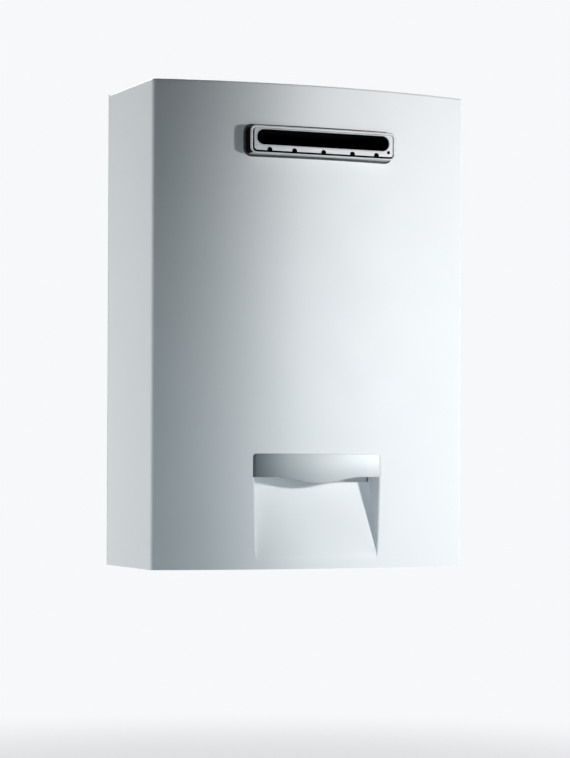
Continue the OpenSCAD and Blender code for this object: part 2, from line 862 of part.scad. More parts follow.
// One level of the wrapped tube: both sides, the front and its two corners
module wrap_level(z, left_y, right_y) {
    corner_y = wrap_y + wrap_corner_r;
    corner_x = wrap_x - wrap_corner_r;
    tube_x(-corner_x, corner_x, wrap_y, z, pipe_r, pipe_bore_r);
    bend_flat([-corner_x, corner_y, z], 180, 90, wrap_corner_r, pipe_r, pipe_bore_r);
    bend_flat([corner_x, corner_y, z], 270, 90, wrap_corner_r, pipe_r, pipe_bore_r);
    if (left_y > corner_y) tube_y_run(-wrap_x, corner_y, left_y, z, pipe_r, pipe_bore_r);
    tube_y_run(wrap_x, corner_y, right_y, z, pipe_r, pipe_bore_r);
}

module wrap_tube() {
    high_z = wrap_low_z + 2 * wrap_pitch;
    turn_r = wrap_pitch / 2;
    corner_y = wrap_y + wrap_corner_r;
    color("peru") {
        wrap_level(wrap_low_z, wrap_back_y, wrap_back_y);
        wrap_level(wrap_low_z + wrap_pitch, wrap_back_y, wrap_back_y);
        wrap_level(high_z, corner_y, wrap_back_y);
        bend_side([-wrap_x, wrap_back_y, wrap_low_z + turn_r], -90, 180, turn_r, pipe_r, pipe_bore_r);
        bend_side([wrap_x, wrap_back_y, high_z - turn_r], -90, 180, turn_r, pipe_r, pipe_bore_r);
        bend_flat([wrap_x + bend_r, wrap_back_y, wrap_low_z], 90, 90, bend_r, pipe_r, pipe_bore_r);
        bend_side([-wrap_x, corner_y, high_z + bend_r], 270, 90, bend_r, pipe_r, pipe_bore_r);
        tube_z(-wrap_x, front_tube_y, high_z + bend_r, riser_top_z, pipe_r, pipe_bore_r);
    }
}

module stack_brackets() {
    color("gainsboro") for (z = [tray_z + tray_flange * 2, collector_z + tray_flange * 2]) difference() {
        block([-bracket_w / 2, stack_back_y + seat_gap, z], [bracket_w / 2, -panel_t, z + bracket_h]);
        block([panel_t - bracket_w / 2, stack_back_y + seat_gap + panel_t, z - overrun],
            [bracket_w / 2 - panel_t, -2 * panel_t, z + bracket_h + overrun]);
    }
}

// Burner
function blade_x(i) = (i - (blade_count - 1) / 2) * blade_pitch;

module burner_tray() {
    color("silver") difference() {
        union() {
            block([-chamber_x, stack_front_y, tray_z + seat_gap], [chamber_x, stack_back_y, tray_z + tray_h]);
            block([-chamber_x - tray_flange, stack_front_y, chamber_z - panel_t],
                [chamber_x + tray_flange, stack_back_y, chamber_z]);
        }
        block([wall_t - chamber_x, stack_front_y + wall_t, tray_z + wall_t],
            [chamber_x - wall_t, stack_back_y - wall_t, chamber_z + overrun]);
        for (i = [0 : blade_count - 1]) translate([blade_x(i), stack_front_y + 2 * wall_t, injector_z])
            rotate([90, 0, 0])
            cylinder(r = mouth_r, h = 3 * wall_t);
        for (i = [0 : blade_count - 1], side = [-1, 0, 1])
            translate([blade_x(i), (stack_front_y + stack_back_y) / 2 + side * chamber_d / 3, tray_z])
            cylinder(d = tray_hole_d, h = 2 * wall_t);
    }
}

module blade_section() {
    polygon([[-blade_foot_w / 2, 0], [blade_foot_w / 2, 0], [blade_foot_w / 2, blade_foot_h],
        [blade_w / 2, blade_foot_h + blade_w / 2],
        [blade_w / 2, blade_h - blade_w], [blade_top_w / 2, blade_h], [-blade_top_w / 2, blade_h],
            [-blade_w / 2, blade_h - blade_w],
        [-blade_w / 2, blade_foot_h + blade_w / 2], [-blade_foot_w / 2, blade_foot_h]]);
}

module burner_blades() {
    back_y = stack_back_y - wall_t - seat_gap;
    length = chamber_d - 2 * wall_t - 2 * seat_gap;
    slots = floor((length - 2 * blade_slot_pitch) / blade_slot_pitch);
    color("silver") for (i = [0 : blade_count - 1]) translate([blade_x(i), 0, tray_z + blade_lift])
        difference() {
        facing(back_y, length) blade_section();
        translate([0, back_y - length + blade_foot_h * 2, blade_foot_h / 2]) rotate([90, 0, 0])
            cylinder(r = blade_foot_w / 2 - wall_t, h = blade_foot_h * 2 + overrun);
        for (s = [0 : slots]) translate([-blade_w / 2, back_y - blade_slot_pitch * (s + 1),
            blade_h - blade_slot_d])
            cube([blade_w, blade_slot_w, 2 * blade_slot_d]);
    }
}

module gas_manifold() {
    end_x = blade_x(blade_count - 1) + manifold_s;
    low_z = injector_z - manifold_s / 2;
    color("silver") difference() {
        block([-end_x, manifold_y, low_z], [end_x, manifold_y + manifold_s, low_z + manifold_s]);
        block([wall_t * 2 - end_x, manifold_y + wall_t, low_z + wall_t],
            [end_x - wall_t * 2, manifold_y + manifold_s - wall_t, low_z + manifold_s - wall_t]);
        translate([gas_x, feed_y, low_z - overrun]) cylinder(r = pipe_bore_r, h = 2 * overrun + wall_t);
        for (i = [0 : blade_count - 1]) translate([blade_x(i), manifold_y + manifold_s + overrun,
            injector_z]) rotate([90, 0, 0])
            cylinder(r = wall_t, h = 2 * overrun + wall_t);
    }
}

module injectors() {
    color("gold") for (i = [0 : blade_count - 1])
        tube_y_run(blade_x(i), manifold_y + manifold_s + seat_gap, stack_front_y + wall_t / 2,
            injector_z, mouth_r - 2 * wall_t, wall_t);
}

// A rod through the front wall of the chamber, in its ceramic sleeve
module probe(x, z) {
    translate([x, stack_front_y + wall_t / 2 + probe_l, z]) rotate([90, 0, 0])
        cylinder(r = probe_r, h = probe_l * 1.5);
}

module ignition_electrodes() {
    for (x = [-ignition_x, -ignition_x - 2 * insulator_r - run_gap]) {
        color("silver") probe(x, probe_z);
        color("white") sleeve(x);
    }
}

module sleeve(x) {
    tube_y_run(x, stack_front_y - insulator_r * 3, stack_front_y + insulator_r * 2, probe_z, insulator_r,
        probe_r);
}

module flame_rod() {
    color("silver") probe(ignition_x, probe_z);
    color("white") sleeve(ignition_x);
}

module overheat_switch() {
    base_z = collector_z + collector_h + seat_gap;
    color("black") translate([chamber_x / 2, (stack_front_y + stack_back_y) / 2, base_z]) {
        cylinder(r = switch_r, h = switch_h);
        cylinder(r = switch_r * 1.3, h = terminal_t);
        for (x = [-switch_r / 2, switch_r / 2]) translate([x - wall_t / 2, -switch_r / 4, 0])
            cube([wall_t, switch_r / 2, switch_h * 2]);
    }
}

// Fan
function scroll_point(a, grow) = let (r = scroll_r + grow + scroll_growth * max(0,
    a - scroll_start) / (scroll_end - scroll_start)) [r * cos(a), r * sin(a)];

module scroll_shape(grow, top_z) {
    end_x = scroll_r + scroll_growth + grow;
    left_x = end_x - scroll_mouth_w - 2 * grow;
    start = acos(left_x / (scroll_r + grow));
    polygon(concat([for (i = [0 : scroll_steps])
        scroll_point(start + (scroll_end - start) * i / scroll_steps, grow)],
        [[end_x, top_z], [left_x, top_z]]));
}

module fan_housing() {
    top_z = plenum_z - fan_z;
    depth = fan_back_y - fan_front_y;
    color("gainsboro") translate([fan_x, 0, fan_z]) difference() {
        facing(fan_back_y, depth) scroll_shape(scroll_t, top_z);
        facing(fan_back_y - scroll_t, depth - 2 * scroll_t) scroll_shape(0, top_z + overrun);
        facing(fan_front_y + 2 * scroll_t, 3 * scroll_t) circle(d = inlet_d);
        facing(fan_back_y + scroll_t, 3 * scroll_t) circle(r = hub_d / 2 + run_gap);
    }
}

module fan_motor() {
    color("dimgray") translate([fan_x, fan_back_y + seat_gap, fan_z]) rotate([-90, 0, 0]) difference() {
        union() {
            cylinder(d = motor_d, h = motor_l);
            translate([0, 0, -2 * scroll_t]) cylinder(d = hub_d, h = 3 * scroll_t);
            for (i = [0 : 2]) rotate([0, 0, 120 * i + 30]) translate([motor_d / 2, 0, 0])
                cylinder(r = motor_ear_r, h = 2 * scroll_t);
        }
        translate([0, 0, -3 * scroll_t]) cylinder(d = shaft_d + 2 * fit_gap, h = motor_l + scroll_t);
    }
}

module fan_bracket() {
    back_y = fan_back_y + motor_l + 2 * seat_gap;
    color("gainsboro") {
        block([fan_x + hub_d - motor_d / 2, back_y, fan_z - motor_d / 3],
            [fan_x + motor_d / 2, back_y + panel_t, fan_z + motor_d / 3]);
        block([fan_x + motor_d / 2 - panel_t, back_y, fan_z - motor_d / 3],
            [fan_x + motor_d / 2, -panel_t, fan_z + motor_d / 3]);
        block([fan_x + motor_d / 2 - panel_t, -2 * panel_t, fan_z - motor_d / 3],
            [fan_x + motor_d / 2 + flange_d, -panel_t, fan_z + motor_d / 3]);
    }
}

module fan_shaft() {
    color("silver") translate([fan_x, impeller_back_y - impeller_w, fan_z]) rotate([-90, 0, 0])
        cylinder(d = shaft_d, h = fan_back_y + motor_l - hub_d / 2 - impeller_back_y + impeller_w);
}

module fan_impeller() {
    r = impeller_d / 2;
    color("gray") translate([fan_x, impeller_back_y, fan_z]) rotate([90, 0, 0]) difference() {
        union() {
            cylinder(r = r, h = disc_t);
            cylinder(d = hub_d, h = impeller_w / 2);
            translate([0, 0, disc_t / 2]) linear_extrude(impeller_w - disc_t)
                for (i = [0 : impeller_blades - 1])
                rotate([0, 0, 360 * i / impeller_blades]) translate([r - blade_chord, 0])
                    rotate([0, 0, fan_blade_turn])
                square([blade_chord, fan_blade_t]);
            translate([0, 0, impeller_w - disc_t]) linear_extrude(disc_t) annulus(r, r - blade_chord / 2);
        }
        translate([0, 0, -overrun]) cylinder(d = shaft_d + 2 * seat_gap, h = impeller_w + 2 * overrun);
    }
}

module air_duct() {
    mouth_x = fan_x + scroll_r + scroll_growth;
    color("gainsboro") difference() {
        block([-chamber_x, stack_front_y, plenum_z + seat_gap], [chamber_x, stack_back_y, tray_z]);
        block([duct_t - chamber_x, stack_front_y + duct_t, plenum_z + duct_t],
            [chamber_x - duct_t, stack_back_y - duct_t, tray_z + overrun]);
        block([mouth_x - scroll_mouth_w, fan_front_y + scroll_t, plenum_z - overrun],
            [mouth_x, fan_back_y - scroll_t, plenum_z + 2 * duct_t]);
    }
}

// Fittings under the bottom plate: thread, hexagon and neck
module fitting(x, y, top_z) {
    translate([x, y, 0]) difference() {
        union() {
            translate([0, 0, stub_z]) cylinder(d = thread_d, h = thread_l + seat_gap);
            translate([0, 0, stub_z + thread_l]) cylinder(d = hex_af / cos(30), h = hex_h, $fn = 6);
            translate([0, 0, stub_z + thread_l]) cylinder(r = stub_neck_r, h = top_z - stub_z - thread_l);
        }
        translate([0, 0, stub_z - overrun]) cylinder(d = fitting_bore, h = top_z - stub_z + 2 * overrun);
    }
}

// Gas line
module gas_fitting() {
    color("gold") fitting(gas_x, gas_y, valve_z - seat_gap);
}

module gas_valve() {
    color("silver") difference() {
        translate([gas_x, gas_y, valve_z]) linear_extrude(valve_h) rounded(valve_w, valve_d, valve_r);
        translate([gas_x, gas_y, valve_z - overrun])
            cylinder(d = fitting_bore, h = coil_low_z - valve_z + overrun);
        for (z = [coil_low_z, coil_high_z]) translate([coil_x - head_back, gas_y, z]) rotate([0, 90, 0]) {
            cylinder(r = chamber_bore_r, h = head_back - chamber_back);
            cylinder(r = plunger_d / 2 + fit_gap, h = head_back + overrun);
            translate([0, 0, head_back - coil_x + gas_x]) cylinder(r = seat_bore_r, h = coil_x - gas_x);
        }
        translate([coil_x - head_back + head_l, gas_y, coil_low_z])
            cylinder(r = seat_bore_r / 2, h = coil_high_z - coil_low_z);
        translate([gas_x, valve_front_y - overrun, feed_z]) rotate([-90, 0, 0])
            cylinder(r = pipe_bore_r, h = valve_d / 2 + overrun);
        translate([gas_x, gas_y, coil_high_z]) cylinder(r = seat_bore_r, h = feed_z - coil_high_z);
    }
}

module solenoid_coils() {
    start_x = coil_x + seat_gap;
    color("black") for (z = [coil_low_z, coil_high_z]) translate([start_x, gas_y, z]) rotate([0, 90, 0])
        difference() {
        union() {
            cylinder(d = coil_d, h = coil_l);
            for (x = [0, coil_l - yoke_t]) translate([-coil_d / 2 - yoke_t, -coil_d / 2 - yoke_t, x])
                cube([coil_d + 2 * yoke_t, coil_d + 2 * yoke_t, yoke_t]);
            translate([-coil_d / 2 - yoke_t, -coil_d / 2 - yoke_t, 0])
                cube([3 * yoke_t / 2, coil_d + 2 * yoke_t, coil_l]);
        }
        translate([0, 0, -overrun]) cylinder(d = plunger_d + 2 * fit_gap, h = coil_l - coil_end + overrun);
    }
}

// A plunger with its sealing head, shut against the seat of the valve
module plunger(z) {
    start_x = coil_x - head_back + seat_gap;
    color("silver") translate([start_x, gas_y, z]) rotate([0, 90, 0]) {
        cylinder(r = head_r, h = head_l);
        cylinder(d = plunger_d, h = head_back + coil_l - coil_end - plunger_travel - run_gap);
    }
}

module safety_plunger() {
    plunger(coil_low_z);
}

module main_plunger() {
    plunger(coil_high_z);
}

module gas_feed_pipe() {
    color("gold") {
        tube_y_run(gas_x, feed_y + bend_r, valve_front_y - seat_gap, feed_z, pipe_r, pipe_bore_r);
        bend_side([gas_x, feed_y + bend_r, feed_z + bend_r], 180, 90, bend_r, pipe_r, pipe_bore_r);
        tube_z(gas_x, feed_y, feed_z + bend_r, injector_z - manifold_s / 2 - seat_gap, pipe_r - fit_gap,
            pipe_bore_r);
    }
}

// Water line
module cold_inlet() {
    low_y = drain_y - block_w / 3;
    top_z = floor_top_z + block_h;
    color("gold") difference() {
        union() {
            fitting(cold_x, cold_y, top_z);
            block([cold_x - block_w / 2, low_y, floor_top_z + seat_gap],
                [cold_x + block_w / 2, cold_y + block_w / 2, top_z - seat_gap]);
            translate([cold_x, drain_y, drain_neck_z])
                cylinder(r = stub_neck_r, h = floor_top_z - drain_neck_z + overrun);
        }
        translate([cold_x, cold_y, stub_z - overrun]) cylinder(d = fitting_bore, h = top_z);
        translate([cold_x, drain_y, drain_neck_z - overrun])
            cylinder(d = drain_bore_d, h = top_z - drain_neck_z - sheet_t);
        translate([cold_x, drain_y, top_z - block_h / 3]) rotate([-90, 0, 0])
            cylinder(r = port_r, h = cold_y - drain_y);
    }
}

module drain_plug() {
    top_z = floor_top_z + block_h / 3;
    color("black") translate([cold_x, drain_y, drain_neck_z - run_gap - knob_h]) difference() {
        union() {
            cylinder(d = knob_d, h = knob_h);
            cylinder(d = drain_bore_d - 2 * fit_gap, h = top_z - drain_neck_z + run_gap + knob_h);
        }
        translate([-knob_d, -knob_slot_w / 2, -overrun])
            cube([2 * knob_d, knob_slot_w, overrun + knob_slot_w]);
    }
}

module inlet_filter() {
    color("white") tube_z(cold_x, drain_y, floor_top_z + block_h / 3,
        floor_top_z + block_h / 3 + filter_l, filter_r, filter_r - wall_t);
}

module sensor_spider(z) {
    translate([cold_x, cold_y, z]) difference() {
        union() {
            cylinder(d = 3 * turbine_shaft_d, h = turbine_shaft_d);
            for (a = [0 : 60 : 120]) rotate([0, 0, a])
                translate([-sensor_bore_r - overrun, -turbine_shaft_d / 2, 0])
                cube([2 * sensor_bore_r + 2 * overrun, turbine_shaft_d, turbine_shaft_d]);
        }
        translate([0, 0, -overrun]) cylinder(d = turbine_shaft_d + 2 * fit_gap,
            h = turbine_shaft_d + 2 * overrun);
    }
}

module flow_sensor() {
    color("black") {
        tube_z(cold_x, cold_y, sensor_z + seat_gap, servo_z - seat_gap, sensor_r, sensor_bore_r);
        sensor_spider(turbine_z - turbine_shaft_d - run_gap);
        sensor_spider(turbine_z + turbine_h + run_gap);
    }
}

module flow_turbine() {
    reach = turbine_shaft_d + 2 * run_gap;
    color("white") translate([cold_x, cold_y, turbine_z]) {
        translate([0, 0, -reach]) cylinder(d = turbine_shaft_d, h = turbine_h + 2 * reach);
        cylinder(d = 3 * turbine_shaft_d, h = turbine_h);
        intersection() {
            cylinder(d = turbine_d, h = turbine_h);
            for (a = [0 : 60 : 300]) rotate([0, 0, a]) translate([turbine_shaft_d, 0, turbine_h / 2])
                rotate([turbine_blade_turn, 0, 0])
                translate([0, -wall_t / 2, -turbine_h]) cube([turbine_d / 2, wall_t, 2 * turbine_h]);
        }
    }
}

module flow_valve() {
    color("gold") translate([cold_x, cold_y, servo_z]) difference() {
        linear_extrude(servo_h) rounded(block_w, block_w, valve_r / 2);
        translate([0, 0, -overrun]) cylinder(r = port_r, h = servo_h + 2 * overrun);
        translate([0, block_w / 3, servo_h / 2]) rotate([90, 0, 0])
            cylinder(d = spindle_d + 2 * fit_gap, h = block_w);
    }
}

module valve_spindle() {
    length = block_w / 3 + block_w / 2 - run_gap;
    color("silver") translate([cold_x, cold_y + block_w / 3 - run_gap, servo_mid_z]) rotate([90, 0, 0])
        difference() {
        union() {
            cylinder(d = spindle_d, h = length);
            cylinder(d = stem_d, h = length + stem_l);
        }
        translate([0, spindle_d, block_w / 3 - run_gap]) rotate([90, 0, 0])
            cylinder(r = port_r, h = 2 * spindle_d);
    }
}

module servo_motor() {
    back_y = cold_y - block_w / 2 - seat_gap;
    color("black") difference() {
        union() {
            translate([cold_x, back_y, servo_mid_z]) rotate([90, 0, 0]) cylinder(d = servo_d, h = servo_l);
            translate([0, 0, servo_mid_z]) facing(back_y, servo_l / 3) translate([cold_x, 0])
                rounded(servo_d, servo_d, valve_r / 2);
        }
        translate([cold_x, back_y + overrun, servo_mid_z]) rotate([90, 0, 0])
            cylinder(d = stem_d + 2 * fit_gap, h = stem_l + 2 * overrun);
    }
}

module cold_pipe() {
    color("peru") {
        tube_z(cold_x, cold_y, valve_pipe_z + seat_gap, wrap_low_z - bend_r, pipe_r, pipe_bore_r);
        bend_front([cold_x - bend_r, cold_y, wrap_low_z - bend_r], 0, 90, bend_r, pipe_r, pipe_bore_r);
        tube_x(wrap_x + bend_r + seat_gap, cold_x - bend_r, cold_y, wrap_low_z, pipe_r, pipe_bore_r);
    }
}

module hot_pipe() {
    color("peru") {
        tube_x(hot_x + bend_r, -chamber_x - 2 * end_plate_t, hot_y, tube_z, pipe_r, pipe_bore_r);
        bend_front([hot_x + bend_r, hot_y, tube_z - bend_r], 90, 90, bend_r, pipe_r, pipe_bore_r);
        tube_z(hot_x, hot_y, floor_top_z + block_h + seat_gap, tube_z - bend_r, pipe_r, pipe_bore_r);
    }
}

module hot_outlet() {
    color("gold") {
        fitting(hot_x, hot_y, floor_top_z + block_h);
        tube_z(hot_x, hot_y, floor_top_z + seat_gap, floor_top_z + block_h / 2, stub_neck_r * 1.4,
            stub_neck_r - wall_t);
    }
}

module relief_valve() {
    color("gold") {
        tube_z(hot_x, hot_y, relief_z - relief_r, relief_z + relief_r, pipe_r + 2 * wall_t, pipe_r + fit_gap);
        translate([hot_x - pipe_r - wall_t, hot_y, relief_z]) rotate([0, -90, 0])
            cylinder(r = relief_r - wall_t, h = relief_l);
        translate([hot_x - pipe_r - relief_l, hot_y, relief_z]) rotate([0, -90, 0])
            cylinder(r = relief_r, h = relief_r, $fn = 6);
    }
}

module nut(length) {
    difference() {
        cylinder(d = nut_af / cos(30), h = length, $fn = 6);
        translate([0, 0, -overrun]) cylinder(r = pipe_r + fit_gap, h = length + 2 * overrun);
    }
}

module pipe_nuts() {
    color("gold") {
        translate([cold_x, cold_y, valve_pipe_z + seat_gap]) nut(nut_l);
        translate([hot_x, hot_y, floor_top_z + block_h + seat_gap]) nut(nut_l);
        translate([wrap_x + bend_r + seat_gap, cold_y, wrap_low_z]) rotate([0, 90, 0])
            nut(cold_x - wrap_x - 2 * bend_r - seat_gap);
        translate([gas_x, valve_front_y - seat_gap, feed_z]) rotate([90, 0, 0]) nut(nut_l);
    }
}

module pipe_clip(x, y, z) {
    r = pipe_r + clip_t;
    tube_z(x, y, z, z + clip_w, r, pipe_r + fit_gap);
    block([x - clip_t / 2, y + pipe_r + clip_t / 2, z], [x + clip_t / 2, -panel_t - clip_t / 2, z + clip_w]);
    block([x - r, -panel_t - clip_t, z], [x + r, -panel_t, z + clip_w]);
}

module pipe_clips() {
    color("silver") {
        for (z = [wrap_low_z - wrap_pitch, wrap_low_z + 2 * wrap_pitch]) pipe_clip(hot_x, hot_y, z);
        pipe_clip(cold_x, cold_y, valve_pipe_z + 2 * nut_l);
    }
}

// Electrics
module control_box() {
    right_x = box_left_x + box_w;
    front = box_back_y - box_d;
    color("gray") {
        difference() {
            block([box_left_x, front, box_z], [right_x, box_back_y, box_z + box_h]);
            block([box_left_x + box_wall, front - overrun, box_z + box_wall],
                [right_x - box_wall, box_back_y - box_wall, box_z + box_h - box_wall]);
            translate([loom_x, loom_y, box_z - overrun])
                cylinder(r = loom_r + fit_gap, h = box_wall + 2 * overrun);
        }
        for (x = [box_left_x + card_gap * 1.5, right_x - card_gap * 1.5],
            z = [box_z + card_gap * 2, box_z + box_h - card_gap * 2])
            translate([x, box_back_y - box_wall / 2, z]) rotate([90, 0, 0])
                cylinder(d = card_gap, h = card_back);
        for (z = [box_z + box_w / 2, box_z + box_h - box_w]) {
            block([right_x - box_wall, box_back_y - box_wall / 2, z], [right_x, -panel_t, z + box_w / 2]);
            block([right_x - box_w / 4, -panel_t - box_wall, z], [right_x, -panel_t, z + box_w / 2]);
        }
    }
}

module control_lid() {
    front = box_back_y - box_d - seat_gap;
    inner_gap = box_wall + fit_gap;
    color("dimgray") {
        facing(front, box_wall) translate([box_left_x + box_w / 2, box_z + box_h / 2])
            rounded(box_w, box_h, box_lip);
        difference() {
            block([box_left_x + inner_gap, front - box_wall / 2, box_z + inner_gap],
                [box_left_x + box_w - inner_gap, front + box_lip, box_z + box_h - inner_gap]);
            block([box_left_x + inner_gap + box_wall, front, box_z + inner_gap + box_wall],
                [box_left_x + box_w - inner_gap - box_wall, front + box_lip + overrun,
                    box_z + box_h - inner_gap - box_wall]);
        }
    }
}

module circuit_board() {
    y = box_back_y - card_back - box_wall / 2 - seat_gap;
    x = box_left_x + box_wall + run_gap * 2;
    w = box_w - 2 * box_wall - run_gap * 4;
    low_z = box_z + 2 * box_wall;
    color("darkgreen") block([x, y - card_t, low_z], [x + w, y, box_z + box_h - 2 * box_wall]);
    color("black") {
        for (i = [0 : 2]) block([x + w / 5, y - card_t - relay_h, low_z + w * (i + 0.4)],
            [x + w / 2, y - card_t / 2, low_z + w * (i + 0.9)]);
        for (i = [0 : 3]) translate([x + w * 0.75, y - card_t / 2, low_z + w * (i + 0.6)]) rotate([90, 0, 0])
            cylinder(r = card_gap, h = relay_h * 1.2);
        block([x + w / 5, y - card_t - card_gap, low_z + w * 3.4],
            [x + w / 2, y - card_t / 2, low_z + w * 3.9]);
    }
}

module ignition_transformer() {
    left_x = coil_box_left_x;
    color("black") {
        block([left_x, -panel_t - coil_box_d, coil_box_z],
            [left_x + coil_box_w, -panel_t - box_wall / 2, coil_box_z + coil_box_h]);
        block([left_x, -panel_t - box_wall, coil_box_z - clip_w],
            [left_x + coil_box_w, -panel_t, coil_box_z + coil_box_h + clip_w]);
        for (x = [coil_box_w / 4, coil_box_w * 3 / 4])
            translate([left_x + x, -panel_t - coil_box_d / 2, coil_box_z + coil_box_h])
            cylinder(r = insulator_r, h = nut_l);
    }
}

module wiring_loom() {
    z = valve_z + valve_h + loom_r + run_gap;
    bore = loom_r / 2;
    color("black") {
        tube_z(loom_x, loom_y, z + loom_bend, box_z + box_wall * 2, loom_r, bore);
        bend_front([loom_x - loom_bend, loom_y, z + loom_bend], -90, 90, loom_bend, loom_r, bore);
        tube_x(gas_x + loom_bend, loom_x - loom_bend, loom_y, z, loom_r, bore);
        bend_flat([gas_x + loom_bend, loom_y + loom_bend, z], 180, 90, loom_bend, loom_r, bore);
        tube_y_run(gas_x, loom_y + loom_bend, gas_y, z, loom_r, bore);
    }
}

module cable_gland() {
    color("black") translate([gland_x, gland_y, skirt_h]) difference() {
        union() {
            translate([0, 0, -gland_l]) cylinder(d = gland_d, h = 2 * gland_l);
            translate([0, 0, -gland_l / 2 - seat_gap]) cylinder(d = gland_d * 1.5, h = gland_l / 2, $fn = 6);
            translate([0, 0, floor_t + seat_gap]) cylinder(d = gland_d * 1.5, h = gland_l / 3, $fn = 6);
        }
        translate([0, 0, -gland_l - overrun]) cylinder(d = cord_bore_d, h = 2 * gland_l + 2 * overrun);
    }
}

module case_screws() {
    length = terminal_t * 2 + seal_t + plate_screw_d;
    color("silver") for (x = [-flange_screw_x, flange_screw_x], z = [-flange_screw_z, flange_screw_z])
        translate([x, terminal_back_y - terminal_t - seat_gap, terminal_z + z]) rotate([-90, 0, 0]) {
            cylinder(d = plate_screw_d, h = length);
            translate([0, 0, -plate_screw_d / 2]) cylinder(d = plate_screw_d * 1.75, h = plate_screw_d / 2);
        }
}

front_cover();
trim_bar();
terminal_gasket();
cover_screws();
intake_baffle();
rear_panel();
bottom_plate();
terminal_housing();
terminal_face();
terminal_seal();
flue_collector();
fin_pack();
fin_tubes();
end_plates();
water_header();
combustion_chamber();
wrap_tube();
stack_brackets();
burner_tray();
burner_blades();
gas_manifold();
injectors();
ignition_electrodes();
flame_rod();
overheat_switch();
air_duct();
fan_housing();
fan_bracket();
fan_motor();
fan_shaft();
fan_impeller();
gas_fitting();
gas_valve();
solenoid_coils();
safety_plunger();
main_plunger();
gas_feed_pipe();
cold_inlet();
drain_plug();
inlet_filter();
flow_sensor();
flow_turbine();
flow_valve();
valve_spindle();
servo_motor();
cold_pipe();
hot_pipe();
hot_outlet();
relief_valve();
pipe_nuts();
pipe_clips();
control_box();
control_lid();
circuit_board();
ignition_transformer();
wiring_loom();
cable_gland();
case_screws();
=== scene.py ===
"""Looks of a wall-hung gas water heater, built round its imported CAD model.

Metres, as in the frame. The wall is the plane y = 0, and +X is to the right as seen from the front.
"""
import math

import bmesh
import bpy
from mathutils import Matrix, Vector


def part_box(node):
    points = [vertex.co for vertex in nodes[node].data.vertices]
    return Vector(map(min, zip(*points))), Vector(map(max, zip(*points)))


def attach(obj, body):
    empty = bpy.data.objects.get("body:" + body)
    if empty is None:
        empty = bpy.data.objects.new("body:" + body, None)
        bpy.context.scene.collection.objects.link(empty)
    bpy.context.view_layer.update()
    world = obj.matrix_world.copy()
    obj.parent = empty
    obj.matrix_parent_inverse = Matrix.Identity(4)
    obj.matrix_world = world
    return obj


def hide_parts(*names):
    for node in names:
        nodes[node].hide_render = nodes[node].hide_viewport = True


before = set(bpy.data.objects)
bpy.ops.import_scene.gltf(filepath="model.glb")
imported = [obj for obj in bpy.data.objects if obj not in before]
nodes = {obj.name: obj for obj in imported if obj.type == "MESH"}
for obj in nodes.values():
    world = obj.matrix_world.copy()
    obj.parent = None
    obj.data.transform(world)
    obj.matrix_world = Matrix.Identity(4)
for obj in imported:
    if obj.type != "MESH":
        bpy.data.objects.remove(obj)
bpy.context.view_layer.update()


# Camera

CAMERA_PLACE = (-1.2227, -2.9131, 0.1371)
CAMERA_TILT, CAMERA_ROLL, CAMERA_TURN = 90, -0.252, -23.34
LENS, SENSOR_W, SHIFT_UP = 118.32, 36, 0.0995
VIEW_REACH = 60


def add_camera():
    """Stands the camera low and to the left of the heater, as in the photograph."""
    camera = bpy.data.objects.new("camera", bpy.data.cameras.new("camera"))
    bpy.context.collection.objects.link(camera)
    camera.location = CAMERA_PLACE
    camera.rotation_euler = [math.radians(angle) for angle in (CAMERA_TILT, CAMERA_ROLL, CAMERA_TURN)]
    camera.data.sensor_width = SENSOR_W
    camera.data.lens = LENS
    camera.data.shift_y = SHIFT_UP
    camera.data.clip_end = VIEW_REACH
    bpy.context.scene.camera = camera


add_camera()


# Lamps

def lamp_at(name, kind, place, target, power):
    """A lamp that points at a target and isn't seen itself."""
    data = bpy.data.lights.new(name, kind)
    data.energy = power
    lamp = bpy.data.objects.new(name, data)
    bpy.context.collection.objects.link(lamp)
    lamp.location = place
    lamp.rotation_euler = (Vector(target) - Vector(place)).to_track_quat("-Z", "Y").to_euler()
    lamp.visible_camera = False
    return lamp


def soft_box(name, place, target, size, power, spread=180, colour=(1, 1, 1)):
    """A rectangular lamp of a width and a height."""
    lamp = lamp_at(name, "AREA", place, target, power)
    lamp.data.shape = "RECTANGLE"
    lamp.data.size, lamp.data.size_y = size
    lamp.data.spread = math.radians(spread)
    lamp.data.color = colour


def spot_light(name, place, target, cone, stretch, fade, radius, power):
    """A spot whose cone is stretched upright and fades towards its rim."""
    lamp = lamp_at(name, "SPOT", place, target, power)
    lamp.data.spot_size = math.radians(cone)
    lamp.data.spot_blend = fade
    lamp.data.shadow_soft_size = radius
    lamp.scale = (1, stretch, 1)


spot_light("key_light", place=(0.88, -1.35, 0.39), target=(1.03, -0.18, 0.35), cone=96, stretch=1.31,
           fade=0.035, radius=0.074, power=58.5)
soft_box("front_fill", place=(-0.15, -1.1, 0.09), target=(0.9, -0.18, -0.4), size=(0.5, 0.5), power=2.15,
         spread=166, colour=(0.75, 0.97, 1.08))
soft_box("side_fill", place=(-1.25, 0.27, 0.16), target=(-0.2, -0.08, 0.25), size=(0.7, 0.9), power=7.8,
         colour=(0.93, 0.99, 1))
soft_box("back_fill", place=(0, 1.1, 1.5), target=(0, 0, 0.4), size=(1, 1), power=10, spread=80)
soft_box("right_fill", place=(1.6, -0.22, 0.3), target=(0.2, -0.17, 0.3), size=(0.3, 0.8), power=4)


# Backdrop

BACKDROP_COLOUR = (0.93, 0.94, 0.95, 1)
AMBIENT_COLOUR, AMBIENT_STRENGTH = (0.82, 1, 1.12, 1), 0.02


